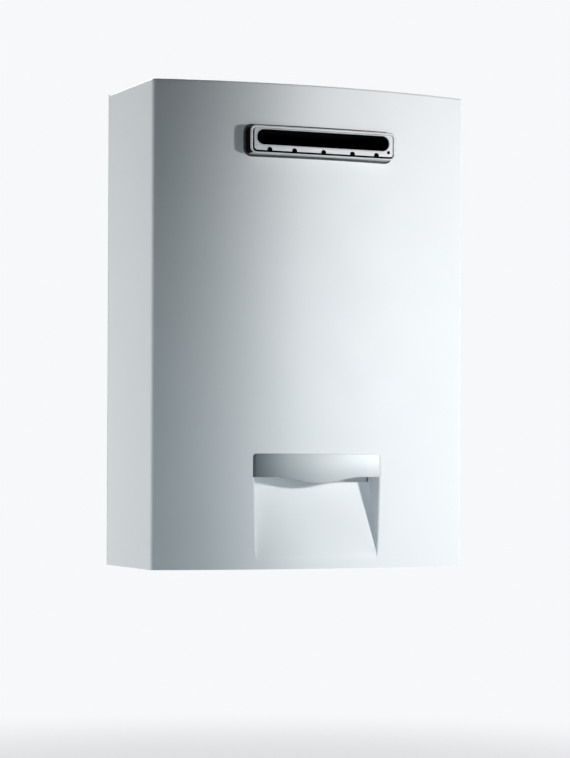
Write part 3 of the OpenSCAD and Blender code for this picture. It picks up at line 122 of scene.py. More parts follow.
def seen_directly(tree):
    """1 for what the camera sees, also by way of metal or glass, and 0 for light on the heater."""
    path = tree.nodes.new("ShaderNodeLightPath")
    total = path.outputs["Is Camera Ray"]
    for ray in ("Is Glossy Ray", "Is Transmission Ray"):
        either = tree.nodes.new("ShaderNodeMath")
        either.operation = "MAXIMUM"
        tree.links.new(total, either.inputs[0])
        tree.links.new(path.outputs[ray], either.inputs[1])
        total = either.outputs[0]
    return total


def background(tree, colour, strength):
    shader = tree.nodes.new("ShaderNodeBackground")
    shader.inputs["Color"].default_value = colour
    shader.inputs["Strength"].default_value = strength
    return shader.outputs[0]


def pale_backdrop():
    """A pale surround that hardly lights the heater."""
    world = bpy.data.worlds.new("studio")
    bpy.context.scene.world = world
    world.use_nodes = True
    tree = world.node_tree
    tree.nodes.clear()
    mix = tree.nodes.new("ShaderNodeMixShader")
    tree.links.new(seen_directly(tree), mix.inputs[0])
    tree.links.new(background(tree, AMBIENT_COLOUR, AMBIENT_STRENGTH), mix.inputs[1])
    tree.links.new(background(tree, BACKDROP_COLOUR, 1), mix.inputs[2])
    tree.links.new(mix.outputs[0], tree.nodes.new("ShaderNodeOutputWorld").inputs["Surface"])


pale_backdrop()
bpy.context.scene.view_settings.view_transform = "Standard"


# Finishes

class Finish:
    """A node material on object coordinates, started with its shader's own constants."""

    def __init__(self, name, **constants):
        self.material = bpy.data.materials.get(name) or bpy.data.materials.new(name)
        self.material.use_nodes = True
        self.tree = self.material.node_tree
        self.tree.nodes.clear()
        self.shader = self.new("BsdfPrincipled")
        for socket, value in constants.items():
            self.shader.inputs[socket.replace("_", " ")].default_value = value
        self.surface = self.new("OutputMaterial").inputs["Surface"]
        self.join(self.shader.outputs[0], self.surface)
        self.place = self.new("TexCoord").outputs["Object"]

    def new(self, kind):
        return self.tree.nodes.new("ShaderNode" + kind)

    def join(self, out, into):
        self.tree.links.new(out, into)

    def stretched(self, scale):
        mapping = self.new("Mapping")
        mapping.inputs["Scale"].default_value = scale
        self.join(self.place, mapping.inputs["Vector"])
        return mapping.outputs[0]

    def noise(self, scale, detail=3, rough=0.5, place=None):
        noise = self.new("TexNoise")
        noise.inputs["Scale"].default_value = scale
        noise.inputs["Detail"].default_value = detail
        noise.inputs["Roughness"].default_value = rough
        self.join(place or self.place, noise.inputs["Vector"])
        return noise.outputs["Fac"]

    def cells(self, scale, place=None, feature="F1"):
        cells = self.new("TexVoronoi")
        cells.feature = feature
        cells.inputs["Scale"].default_value = scale
        self.join(place or self.place, cells.inputs["Vector"])
        return cells

    def ranged(self, value, low, high, to_low, to_high, smooth=False):
        """Maps a value's range to another and holds it there."""
        span = self.new("MapRange")
        if smooth:
            span.interpolation_type = "SMOOTHSTEP"
        for socket, number in zip(("From Min", "From Max", "To Min", "To Max"), (low, high, to_low, to_high)):
            span.inputs[socket].default_value = number
        self.join(value, span.inputs["Value"])
        return span.outputs["Result"]

    def drift(self, noise, low, high):
        """Spreads a noise, most of which lies between 0.3 and 0.7, over a range."""
        return self.ranged(noise, 0.3, 0.7, low, high)

    def math(self, kind, *values):
        step = self.new("Math")
        step.operation = kind
        for socket, value in zip(step.inputs, values):
            if isinstance(value, (int, float)):
                socket.default_value = value
            else:
                self.join(value, socket)
        return step.outputs[0]

    def axis(self, letter):
        split = self.new("SeparateXYZ")
        self.join(self.place, split.inputs[0])
        return split.outputs[letter]

    def colours(self, factor, first, second):
        """Mixes two colours, each a tuple or an output."""
        mix = self.new("Mix")
        mix.data_type = "RGBA"
        self.join(factor, mix.inputs["Factor"])
        for socket, colour in ((mix.inputs[6], first), (mix.inputs[7], second)):
            if isinstance(colour, tuple):
                socket.default_value = (*colour, 1)
            else:
                self.join(colour, socket)
        return mix.outputs[2]

    def paint(self, colour):
        self.join(colour, self.shader.inputs["Base Color"])

    def gloss(self, value):
        self.join(value, self.shader.inputs["Roughness"])

    def bump(self, height, depth):
        bump = self.new("Bump")
        bump.inputs["Distance"].default_value = depth
        self.join(height, bump.inputs["Height"])
        self.join(bump.outputs[0], self.shader.inputs["Normal"])


def mottled(name, first, second, patch, gloss, grain, depth, **constants):
    """A finish whose colour and gloss drift between two values in patches, with a fine grain."""
    finish = Finish(name, **constants)
    finish.paint(finish.colours(finish.drift(finish.noise(patch, 4, 0.6), 0, 1), first, second))
    finish.gloss(finish.drift(finish.noise(patch * 3, 2), *gloss))
    finish.bump(finish.noise(grain, 2), depth)
    return finish


def brushed(name, first, second, gloss, metallic=1.0):
    """Sheet steel with fine lines along X."""
    finish = Finish(name, Metallic=metallic)
    lines = finish.noise(420, 4, 0.65, finish.stretched((0.06, 1, 1)))
    finish.paint(finish.colours(finish.drift(lines, 0, 1), first, second))
    finish.gloss(finish.drift(lines, *gloss))
    finish.bump(lines, 0.00002)
    return finish


def silver_lacquer_painted_reflection():
    """Silver lacquer with fine flakes, with a painted reflection: dark towards the bar's left end and bright
    towards its right.
    """
    painted_dark_x, painted_shade_x, painted_bright_x = -0.088, -0.04, 0.07
    finish = Finish("silver_plastic", Metallic=0.25)
    # Painted reflection: the colour darkens towards the left end and brightens towards the right, in place of
    # the light that the bar mirrors.
    end = finish.ranged(finish.axis("X"), painted_dark_x, painted_shade_x, 0, 1)
    grey = finish.colours(end, (0.045, 0.06, 0.067), (0.31, 0.34, 0.35))
    painted_bright_share = finish.ranged(finish.axis("X"), painted_shade_x, painted_bright_x, 0, 1)
    finish.paint(finish.colours(painted_bright_share, grey, (0.57, 0.59, 0.6)))
    finish.gloss(finish.ranged(finish.cells(2600).outputs["Color"], 0.2, 0.8, 0.48, 0.58))
    finish.bump(finish.noise(1500, 2), 0.00001)


def zinc():
    """Galvanised sheet with its spangle."""
    finish = Finish("zinc_steel", Metallic=0.7)
    grey = finish.new("RGBToBW")
    finish.join(finish.cells(120).outputs["Color"], grey.inputs[0])
    spangle = grey.outputs[0]
    tone = finish.ranged(spangle, 0.1, 0.9, 0, 1)
    finish.paint(finish.colours(tone, (0.4, 0.42, 0.44), (0.52, 0.54, 0.56)))
    finish.gloss(finish.ranged(spangle, 0.1, 0.9, 0.46, 0.6))
    finish.bump(finish.noise(300), 0.00003)


def satin_steel(name, first, second):
    """Sheet steel brushed along the slot and dulled by the weather."""
    return brushed(name, first, second, gloss=(0.46, 0.58), metallic=0.25)


def circuit():
    """Green board with copper tracks under the mask."""
    finish = Finish("green_board", Roughness=0.35)
    tracks = finish.cells(260, finish.stretched((1, 1, 0.35)), "DISTANCE_TO_EDGE").outputs["Distance"]
    mask = finish.ranged(tracks, 0.03, 0.06, 1, 0)
    finish.paint(finish.colours(mask, (0.02, 0.16, 0.07), (0.07, 0.3, 0.12)))
    finish.bump(mask, 0.00003)


STEEL = ((0.5, 0.51, 0.52), (0.66, 0.67, 0.68))
STEEL_GLOSS = (0.4, 0.54)

silver_lacquer_painted_reflection()
zinc()
circuit()
brushed("stainless", *STEEL, gloss=STEEL_GLOSS)
mottled("white_enamel", (0.865, 0.872, 0.878), (0.88, 0.885, 0.89), patch=7, gloss=(0.5, 0.56), grain=900,
        depth=0.000012, Specular_IOR_Level=0.4)
mottled("copper", (0.72, 0.36, 0.24), (0.86, 0.47, 0.33), patch=30, gloss=(0.42, 0.58), grain=500,
        depth=0.00002, Metallic=1.0)
mottled("brass", (0.68, 0.52, 0.25), (0.8, 0.64, 0.34), patch=40, gloss=(0.24, 0.4), grain=600,
        depth=0.00002, Metallic=1.0)
mottled("cast_aluminium", (0.5, 0.51, 0.52), (0.62, 0.63, 0.64), patch=60, gloss=(0.42, 0.6), grain=700,
        depth=0.00007, Metallic=0.9)
mottled("ceramic", (0.82, 0.8, 0.75), (0.88, 0.87, 0.83), patch=50, gloss=(0.25, 0.4), grain=900,
        depth=0.00001)
mottled("black_rubber", (0.012, 0.013, 0.014), (0.03, 0.031, 0.033), patch=60, gloss=(0.55, 0.75),
        grain=1400, depth=0.00003)
mottled("black_plastic", (0.018, 0.019, 0.02), (0.03, 0.031, 0.032), patch=40, gloss=(0.4, 0.55),
        grain=1200, depth=0.00003)
mottled("white_plastic", (0.74, 0.74, 0.71), (0.8, 0.8, 0.77), patch=30, gloss=(0.35, 0.5), grain=1200,
        depth=0.00002)
mottled("grey_plastic", (0.28, 0.29, 0.3), (0.34, 0.35, 0.36), patch=30, gloss=(0.4, 0.55), grain=1200,
        depth=0.00003)

casing_steel = satin_steel("casing_steel", (0.42, 0.435, 0.445), (0.66, 0.675, 0.685))
plate_steel = satin_steel("plate_steel", (0.42, 0.43, 0.44), (0.62, 0.63, 0.64))
# A near-black finish used as painted shade inside the flue, the terminal casing and its holes.
soot = mottled("soot", (0.001, 0.001, 0.001), (0.003, 0.003, 0.003), patch=80, gloss=(0.8, 0.95), grain=900,
               depth=0.00003, Specular_IOR_Level=0.05)


def painted_shade_inside(finish, spaces):
    """Blackens what lies inside the given boxes, each a low and a high corner, as painted shade."""
    clean = finish.shader.inputs["Base Color"].links[0].from_socket
    black = None
    for low, high in spaces:
        inside = None
        for letter, least, most in zip("XYZ", low, high):
            above = finish.math("GREATER_THAN", finish.axis(letter), least)
            both = finish.math("MULTIPLY", above, finish.math("LESS_THAN", finish.axis(letter), most))
            inside = both if inside is None else finish.math("MULTIPLY", inside, both)
        black = inside if black is None else finish.math("MAXIMUM", black, inside)
    finish.paint(finish.colours(black, clean, (0.002, 0.002, 0.002)))
    for socket, plain in (("Metallic", 1.0), ("Specular IOR Level", 0.5)):
        finish.join(finish.ranged(black, 0, 1, plain, 0.02), finish.shader.inputs[socket])


# Painted shade inside the flue collector, down to the fins and out through its neck
WALL, PAST, FINS_PAST = 0.0005, 0.001, 0.0004
NECK_X, NECK_LOW_Z, NECK_HIGH_Z = 0.0863, 0.4975, 0.5231

collector_low, collector_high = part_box("flue_collector")
fins_low, fins_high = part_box("fin_pack")
LID_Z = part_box("overheat_switch")[0].z
painted_shade_inside(brushed("flue_steel", *STEEL, gloss=STEEL_GLOSS), [
    ((collector_low.x + WALL, fins_low.y - FINS_PAST, collector_low.z - PAST),
     (collector_high.x - WALL, fins_high.y + FINS_PAST, LID_Z - WALL)),
    ((-NECK_X, collector_low.y - PAST, NECK_LOW_Z), (NECK_X, fins_low.y, NECK_HIGH_Z))])


# Shared steps

SHARP = 35


def smooth(mesh, sharp=SHARP):
    """Smooth shading up to an angle in degrees."""
    mesh.shade_smooth()
    mesh.set_sharp_from_angle(angle=math.radians(sharp))


def finished(bm, name, body, slot, *replaced, sharp=SHARP, finishes=()):
    """Makes a piece of a bmesh, with its finishes and its body, and hides the nodes that it stands in for."""
    mesh = bpy.data.meshes.new(name)
    bm.to_mesh(mesh)
    bm.free()
    piece = bpy.data.objects.new(name, mesh)
    bpy.context.collection.objects.link(piece)
    for material in [finish.material for finish in finishes] or [bpy.data.materials[slot]]:
        mesh.materials.append(material)
    smooth(mesh, sharp)
    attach(piece, body)
    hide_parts(*replaced)
    return piece


def baked(piece):
    """Applies a piece's modifiers."""
    evaluated = piece.evaluated_get(bpy.context.evaluated_depsgraph_get())
    mesh = bpy.data.meshes.new_from_object(evaluated)
    old = piece.data
    piece.modifiers.clear()
    piece.data = mesh
    bpy.data.meshes.remove(old)
    smooth(mesh)


def punched(piece, bm):
    """Cuts a piece with the closed shapes of a bmesh and applies all its modifiers."""
    mesh = bpy.data.meshes.new("punch")
    bm.to_mesh(mesh)
    bm.free()
    for material in piece.data.materials:
        mesh.materials.append(material)
    punch = bpy.data.objects.new("punch", mesh)
    bpy.context.collection.objects.link(punch)
    cut = piece.modifiers.new("cut", "BOOLEAN")
    cut.operation = "DIFFERENCE"
    cut.object = punch
    cut.solver = "EXACT"
    baked(piece)
    bpy.data.objects.remove(punch)
    bpy.data.meshes.remove(mesh)


def verts_of(geometry):
    return [item for item in geometry if isinstance(item, bmesh.types.BMVert)]


def outline(bm, half_x, half_z, radius, y, z, steps=16, middle=0):
    """A closed edge loop round a rounded rectangle that faces the front."""
    turn = math.pi / (4 * steps)
    made = bmesh.ops.create_circle(bm, segments=4 * steps, radius=radius,
                                   matrix=Matrix.Rotation(turn, 4, "Z"))
    for vert in made["verts"]:
        x, up = vert.co.x, vert.co.y
        out_x, out_z = math.copysign(half_x - radius, x), math.copysign(half_z - radius, up)
        vert.co = (middle + x + out_x, y, z + up + out_z)
    return list({edge for vert in made["verts"] for edge in vert.link_edges})


def stepped(bm, loop, core, steps):
    """Extrudes a loop through steps of growth and depth, rounded about a core rectangle."""
    (mid_x, mid_z), (core_x, core_z) = core
    for grow, y in steps:
        made = bmesh.ops.extrude_edge_only(bm, edges=loop)["geom"]
        loop = [item for item in made if isinstance(item, bmesh.types.BMEdge)]
        for vert in verts_of(made):
            x, z = vert.co.x - mid_x, vert.co.z - mid_z
            near = Vector((max(-core_x, min(core_x, x)), max(-core_z, min(core_z, z))))
            out = (Vector((x, z)) - near).normalized() * grow
            vert.co = (vert.co.x + out.x, y, vert.co.z + out.y)
    return loop


def arc(radius, first, last, steps):
    """Points of an arc as pairs across and along, from a first to a last angle in degrees."""
    angles = [math.radians(first + (last - first) * i / steps) for i in range(steps + 1)]
    return [(radius * math.cos(angle), radius * math.sin(angle)) for angle in angles]


def quarter(grow, y, radius, first, last, steps=5):
    """Steps round a fillet whose centre is at a growth and a depth."""
    return [(grow + across, y - along) for across, along in arc(radius, first, last, steps)]


def grown(steps, start):
    """Turns absolute growths into the growth of each step on the one before."""
    made = []
    for grow, y in steps:
        made.append((grow - start, y))
        start = grow
    return made


def block_of(bm, loop, depth):
    """Closes a loop with a face and draws it back to a block."""
    faces = bmesh.ops.contextual_create(bm, geom=loop)["faces"]
    made = bmesh.ops.extrude_face_region(bm, geom=faces, use_keep_orig=True)["geom"]
    bmesh.ops.translate(bm, verts=verts_of(made), vec=(0, depth, 0))
    bmesh.ops.recalc_face_normals(bm, faces=bm.faces)


def rod_along_y(bm, middle, radius, length, segments):
    place = Matrix.Translation(middle) @ Matrix.Rotation(math.pi / 2, 4, "X")
    bmesh.ops.create_cone(bm, segments=segments, radius1=radius, radius2=radius, depth=length, cap_ends=True,
                          matrix=place)


# Front cover

cover_low, cover_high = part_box("front_cover")
HALF_W, HEIGHT = cover_high.x, cover_high.z
FRONT_Y, BACK_Y = cover_low.y, cover_high.y
SIDE_D = 0.156
BOW_RISE = -FRONT_Y - SIDE_D
BOW_R = (HALF_W ** 2 + BOW_RISE ** 2) / (2 * BOW_RISE)
BOW_Y = FRONT_Y + BOW_R
EDGE_R, TOP_R, SHEET = 0.005, 0.0025, 0.001
CORNER_X = HALF_W - EDGE_R
CORNER_Y = BOW_Y - math.sqrt((BOW_R - EDGE_R) ** 2 - CORNER_X ** 2)

RECESS_LOW_Z, RECESS_HIGH_Z, RECESS_HEAD_Z = 0.014, 0.104, 0.112
RECESS_LOW_X, RECESS_HIGH_X = 0.079, 0.0815
RECESS_D, RUN_OUT = 0.028, 0.005
OUTER_FILLET, INNER_FILLET = 0.0026, 0.0014
INLET_X = 0.045

TURN_STEPS, BOW_STEPS, FLOOR_STEPS, FILLET_STEPS, WALL_STEPS, TOP_STEPS = 8, 26, 28, 6, 6, 6
SIDE_POINTS = 2 * (FILLET_STEPS + 1) + WALL_STEPS - 1
BACK_RIM, RIM, CLOSE, WELD = 0.0005, 0.0006, 0.00001, 0.000002
RECESS_LIP, LIP_REACH = 0.0008, 0.0016
SIDE_YS = (-0.04, -0.08, -0.12)
PLAIN_ZS = (0.1125, 0.12, 0.14, 0.18, 0.24, 0.3, 0.36, 0.42, 0.48, 0.54, 0.57)


def front_at(x):
    """Depth of the bowed front at a place across it."""
    return BOW_Y - math.sqrt(BOW_R ** 2 - x * x)


def recess_edge(z):
    """Half width of the recess, which narrows a little towards its foot."""
    share = (z - RECESS_LOW_Z) / (RECESS_HIGH_Z - RECESS_LOW_Z)
    return RECESS_LOW_X + share * (RECESS_HIGH_X - RECESS_LOW_X)


def recess_depth(z):
    """Depth of the sloping floor, which runs out smoothly at its foot."""
    slope = RECESS_D / (RECESS_HIGH_Z - RECESS_LOW_Z)
    over = z - RECESS_LOW_Z
    if over <= -RUN_OUT:
        return 0.0
    if over < RUN_OUT:
        return slope * (over + RUN_OUT) ** 2 / (4 * RUN_OUT)
    return slope * min(over, RECESS_HIGH_Z - RECESS_LOW_Z)


def recess_side(z):
    """Profile of a side of the recess: pairs of the distance outside its edge and the depth."""
    depth = recess_depth(z)
    outer = min(OUTER_FILLET, depth * 0.65)
    inner = min(INNER_FILLET, depth * 0.35)
    turns = [math.radians(90 * i / FILLET_STEPS) for i in range(FILLET_STEPS + 1)]
    profile = [(OUTER_FILLET * (1 - math.sin(turn)), outer * (1 - math.cos(turn))) for turn in turns]
    wall = depth - outer - inner
    profile += [(0, outer + wall * i / WALL_STEPS) for i in range(1, WALL_STEPS)]
    profile += [(-INNER_FILLET * (1 - math.cos(turn)), depth - inner * (1 - math.sin(turn)))
                for turn in turns]
    return profile


def cover_columns():
    """Columns round the casing from its left to its right back edge: kind, side and place."""
    lean = math.degrees(math.asin(CORNER_X / (BOW_R - EDGE_R)))
    tangent = BOW_R * math.sin(math.radians(lean))
    near = recess_edge(RECESS_HEAD_Z) + OUTER_FILLET + LIP_REACH
    shares = [0, 0.006] + [i / BOW_STEPS for i in range(1, BOW_STEPS)] + [0.985]
    half = [("side", y) for y in (BACK_Y, BACK_Y - BACK_RIM, *SIDE_YS, CORNER_Y + RIM, CORNER_Y)]
    half += [("turn", 90 - (90 - lean) * i / TURN_STEPS) for i in range(1, TURN_STEPS)]
    half += [("bow", tangent + (near - tangent) * share) for share in shares]
    half += [("lip", RECESS_LIP)] + [("recess", i) for i in range(SIDE_POINTS)]
    left = [(kind, -1, value) for kind, value in half]
    right = [(kind, 1, value) for kind, value in reversed(half)]
    floor = [("floor", 0, i / FLOOR_STEPS) for i in range(1, FLOOR_STEPS)]
    return left + floor + right


def cover_rows():
    """Rows from the lower edge up: height, how far the top bend draws in, whether the recess sinks in."""
    foot = [0, RIM, 0.004, 0.008] + [0.009 + 0.001 * i for i in range(1, 12)] + [0.0215, 0.024]
    slope = [0.026 + 0.003 * i for i in range(1, 26)] + [RECESS_HIGH_Z, 0.108, RECESS_HEAD_Z]
    bend_z = HEIGHT - TOP_R
    rows = [(z, 0, True) for z in foot + slope]
    rows += [(z, 0, False) for z in (RECESS_HEAD_Z, *PLAIN_ZS, bend_z - RIM)]
    return rows + [(bend_z + up, TOP_R - across, False) for across, up in arc(TOP_R, 0, 90, TOP_STEPS)]


def across_front(column, z, pocket):
    """Where a column crosses the front at a height, and how deep the recess is there."""
    kind, side, value = column
    edge = recess_edge(min(z, RECESS_HEAD_Z))
    if kind == "bow":
        return side * value, 0.0
    if kind == "lip":
        return side * (edge + OUTER_FILLET + value), 0.0
    if kind == "floor":
        return (2 * value - 1) * (edge - INNER_FILLET), recess_depth(z) if pocket else 0.0
    if pocket:
        away, depth = recess_side(z)[value]
        return side * (edge + away), depth
    share = value / (SIDE_POINTS - 1)
    return side * (edge + OUTER_FILLET - share * (OUTER_FILLET + INNER_FILLET)), 0.0


def cover_point(column, row):
    """Where a column and a row meet."""
    kind, side, value = column
    z, inset, pocket = row
    if kind == "side":
        return Vector((side * (HALF_W - inset), value, z))
    if kind == "turn":
        angle, radius = math.radians(value), EDGE_R - inset
        return Vector((side * (CORNER_X + radius * math.sin(angle)), CORNER_Y - radius * math.cos(angle), z))
    x, depth = across_front(column, z, pocket)
    y = front_at(x)
    if depth == 0.0 and inset:
        out = Vector((x, y - BOW_Y)).normalized()
        x, y = x - out.x * inset, y - out.y * inset
    return Vector((x, y + depth, z))


def on_inlet(column, row):
    """Whether a point is on the air inlet, which is open behind the bar's right end."""
    kind, _, value = column
    z, _, pocket = row
    on_floor = kind == "floor" or kind == "recess" and value == SIDE_POINTS - 1
    return on_floor and pocket and z >= RECESS_HIGH_Z and cover_point(column, row).x > INLET_X


def cover_sheet():
    """A grid that is bent round the bow, sunk at the recess, opened at the inlet and closed at the top."""
    columns, rows = cover_columns(), cover_rows()
    wide, high = len(columns) - 1, len(rows) - 1
    bm = bmesh.new()
    bmesh.ops.create_grid(bm, x_segments=wide, y_segments=high, size=0.5)
    inlet = set()
    for vert in bm.verts:
        column = columns[round((vert.co.x + 0.5) * wide)]
        row = rows[round((vert.co.y + 0.5) * high)]
        if on_inlet(column, row):
            inlet.add(vert)
        vert.co = cover_point(column, row)
    opened = [face for face in bm.faces if inlet.issuperset(face.verts)]
    bmesh.ops.delete(bm, geom=opened, context="FACES")
    bmesh.ops.remove_doubles(bm, verts=bm.verts, dist=WELD)
    highest = {vert for vert in bm.verts if vert.co.z > HEIGHT - CLOSE}
    top = [edge for edge in bm.edges if edge.is_boundary and highest.issuperset(edge.verts)]
    ends = [vert for vert in bm.verts if vert in highest and vert.co.y > BACK_Y - CLOSE]
    bmesh.ops.contextual_create(bm, geom=top + [bm.edges.new(ends)])
    middle = Vector((0, FRONT_Y, HEIGHT / 2))
    front = min(bm.faces, key=lambda face: (face.calc_center_median() - middle).length)
    front.normal_update()
    bmesh.ops.recalc_face_normals(bm, faces=bm.faces)
    if front.normal.y > 0:
        bmesh.ops.reverse_faces(bm, faces=bm.faces)
    return bm


terminal_low, terminal_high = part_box("terminal_housing")
TERMINAL_FRONT, TERMINAL_BACK = terminal_low.y, terminal_high.y
TERMINAL_X = terminal_high.x
TERMINAL_Z = (terminal_low.z + terminal_high.z) / 2
TERMINAL_H, TERMINAL_R, GASKET = 0.0334, 0.0075, 0.0015
PUNCH_AHEAD, PUNCH_D = 0.02, 0.05


def cover():
    """The pressed sheet, with the hole that the terminal and its gasket stand in."""
    piece = finished(cover_sheet(), "cover_shell", "cover", "white_enamel", "front_cover")
    wall = piece.modifiers.new("wall", "SOLIDIFY")
    wall.thickness = SHEET
    wall.offset = -1
    wall.use_even_offset = True
    hole = bmesh.new()
    block_of(hole, outline(hole, TERMINAL_X + GASKET, TERMINAL_H / 2 + GASKET, TERMINAL_R + GASKET,
                           FRONT_Y - PUNCH_AHEAD, TERMINAL_Z), PUNCH_D)
    punched(piece, hole)


TAB_LOW_Z, TAB_T, TAB_IN = 0.0292, 0.0012, 0.022
TAB_FRONT, TAB_BACK = -0.088, -0.054
NOTCH_R, NOTCH_STEPS = 0.0028, 10


def screw_tab(bm, side):
    """A tab folded in from a side, with a screw slot that is open to the back."""
    out_x, in_x = HALF_W - SHEET / 2, HALF_W - SHEET - TAB_IN
    mid_x, mid_y = HALF_W - SHEET - TAB_IN / 2, (TAB_FRONT + TAB_BACK) / 2
    shape = [(in_x, TAB_FRONT), (out_x, TAB_FRONT), (out_x, TAB_BACK), (mid_x + NOTCH_R, TAB_BACK)]
    shape += [(mid_x + across, mid_y - along) for across, along in arc(NOTCH_R, 0, 180, NOTCH_STEPS)]
    shape += [(mid_x - NOTCH_R, TAB_BACK), (in_x, TAB_BACK)]
    face = bm.faces.new([bm.verts.new((side * x, y, TAB_LOW_Z)) for x, y in shape])
    upper = bmesh.ops.extrude_face_region(bm, geom=[face], use_keep_orig=True)["geom"]
    bmesh.ops.translate(bm, verts=verts_of(upper), vec=(0, 0, TAB_T))


def cover_tabs():
    bm = bmesh.new()
    for side in (-1, 1):
        screw_tab(bm, side)
    bmesh.ops.recalc_face_normals(bm, faces=bm.faces)
    finished(bm, "cover_tabs", "cover", "white_enamel", "front_cover", sharp=40)


cover()
cover_tabs()


# Trim bar

BAR_W, BAR_H, BAR_Z, BAR_T, BAR_R = 0.168, 0.028, 0.110, 0.0018, 0.004
BAR_DIP, BAR_DIP_W = 0.0075, 0.116
BAR_GAP, BAR_BEVEL = 0.00005, 0.0007
END_W, END_DROP = 0.003, 0.0013
PEG_X, PEG_Z, PEG_R, PEG_L = 0.064, 0.1268, 0.0025, 0.003
BAR_STEPS, CORNER_TURN, PEG_SIDES = 60, 15, 32


def bar_low(x):
    """Lower edge of the bar, with a wave down at its middle."""
    if abs(x) >= BAR_DIP_W / 2:
        return BAR_Z
    return BAR_Z - BAR_DIP * (1 + math.cos(2 * math.pi * x / BAR_DIP_W)) / 2


def bar_high(x):
    """Upper edge of the bar, with rounded corners."""
    past = abs(x) - (BAR_W / 2 - BAR_R)
    return BAR_Z + BAR_H - (BAR_R - math.sqrt(max(0.0, BAR_R ** 2 - past ** 2)) if past > 0 else 0)


def trim_bar():
    """A plate cut to the bar's outline, bevelled, then bent round the bow with its ends drawn back."""
    half = BAR_W / 2
    inner = half - BAR_R
    corner = [half - BAR_R * (1 - math.sin(math.radians(turn))) for turn in range(0, 91, CORNER_TURN)]
    xs = [-x for x in reversed(corner)]
    xs += [-inner + 2 * inner * i / BAR_STEPS for i in range(1, BAR_STEPS)] + corner
    bm = bmesh.new()
    bmesh.ops.create_grid(bm, x_segments=len(xs) - 1, y_segments=1, size=0.5)
    for vert in bm.verts:
        x = xs[round((vert.co.x + 0.5) * (len(xs) - 1))]
        vert.co = (x, 0, bar_high(x) if vert.co.y > 0 else bar_low(x))
    front = bmesh.ops.extrude_face_region(bm, geom=list(bm.faces), use_keep_orig=True)["geom"]
    bmesh.ops.translate(bm, verts=verts_of(front), vec=(0, -BAR_T, 0))
    bmesh.ops.recalc_face_normals(bm, faces=bm.faces)
    rim = [edge for edge in bm.edges if all(vert.co.y < -BAR_T / 2 for vert in edge.verts)
           and any(abs(face.normal.y) < 0.5 for face in edge.link_faces)]
    bmesh.ops.bevel(bm, geom=rim, affect="EDGES", offset=BAR_BEVEL, segments=3, profile=0.5, material=-1)
    for side in (-1, 1):
        bmesh.ops.bisect_plane(bm, geom=bm.verts[:] + bm.edges[:] + bm.faces[:], dist=WELD / 2,
                               plane_co=(side * (half - END_W), 0, 0), plane_no=(1, 0, 0))
    for vert in bm.verts:
        into = max(0.0, abs(vert.co.x) - (half - END_W)) / END_W
        share = -vert.co.y / BAR_T
        vert.co.y += front_at(vert.co.x) - BAR_GAP + share * into * END_DROP
    peg_l = PEG_L + BAR_T / 2
    peg_y = front_at(PEG_X) - BAR_T / 2 + peg_l / 2
    for side in (-1, 1):
        rod_along_y(bm, (side * PEG_X, peg_y, PEG_Z), PEG_R, peg_l, PEG_SIDES)
    finished(bm, "trim_plate", "cover", "silver_plastic", "trim_bar", sharp=28)


trim_bar()


# Flue terminal

LIP, LOW_LIP, LIP_OUTER_R, LIP_INNER_R = 0.003, 0.002, 0.0011, 0.0008
FACE_SINK, FACE_T = 0.0012, 0.004
FACE_Y = TERMINAL_FRONT + FACE_SINK
FACE_BACK = FACE_Y + FACE_T
FLANGE_W, FLANGE_H, FLANGE_T, FLANGE_R = 0.1876, 0.0092, 0.0012, 0.004
FLANGE_MID = 0.0201
# Beyond these the casing's end flanks are black, as painted shade.
PAINTED_SHADE_FLANK_X, PAINTED_SHADE_FLANK_Y = 0.0912, TERMINAL_FRONT + 0.0014
SLACK = 0.0001


def blackened(bm, where):
    """Gives the second finish to the faces whose middle passes a test."""
    for face in bm.faces:
        if where(face.calc_center_median()):
            face.material_index = 1


def flange_strips(bm):
    """The flange strips above and below the casing, at its back."""
    for side in (-1, 1):
        place = Vector((0, TERMINAL_BACK - FLANGE_T / 2, TERMINAL_Z + side * FLANGE_MID))
        strip = bmesh.ops.create_cube(bm, size=1, matrix=Matrix.LocRotScale(
            place, None, Vector((FLANGE_W, FLANGE_T, FLANGE_H))))["verts"]
        outer = [vert for vert in strip if abs(vert.co.z - TERMINAL_Z) > FLANGE_MID]
        corners = {edge for vert in outer for edge in vert.link_edges
                   if abs(edge.verts[0].co.y - edge.verts[1].co.y) > FLANGE_T / 2}
        bmesh.ops.bevel(bm, geom=list(corners), affect="EDGES", offset=FLANGE_R, segments=6, profile=0.5,
                        material=-1)


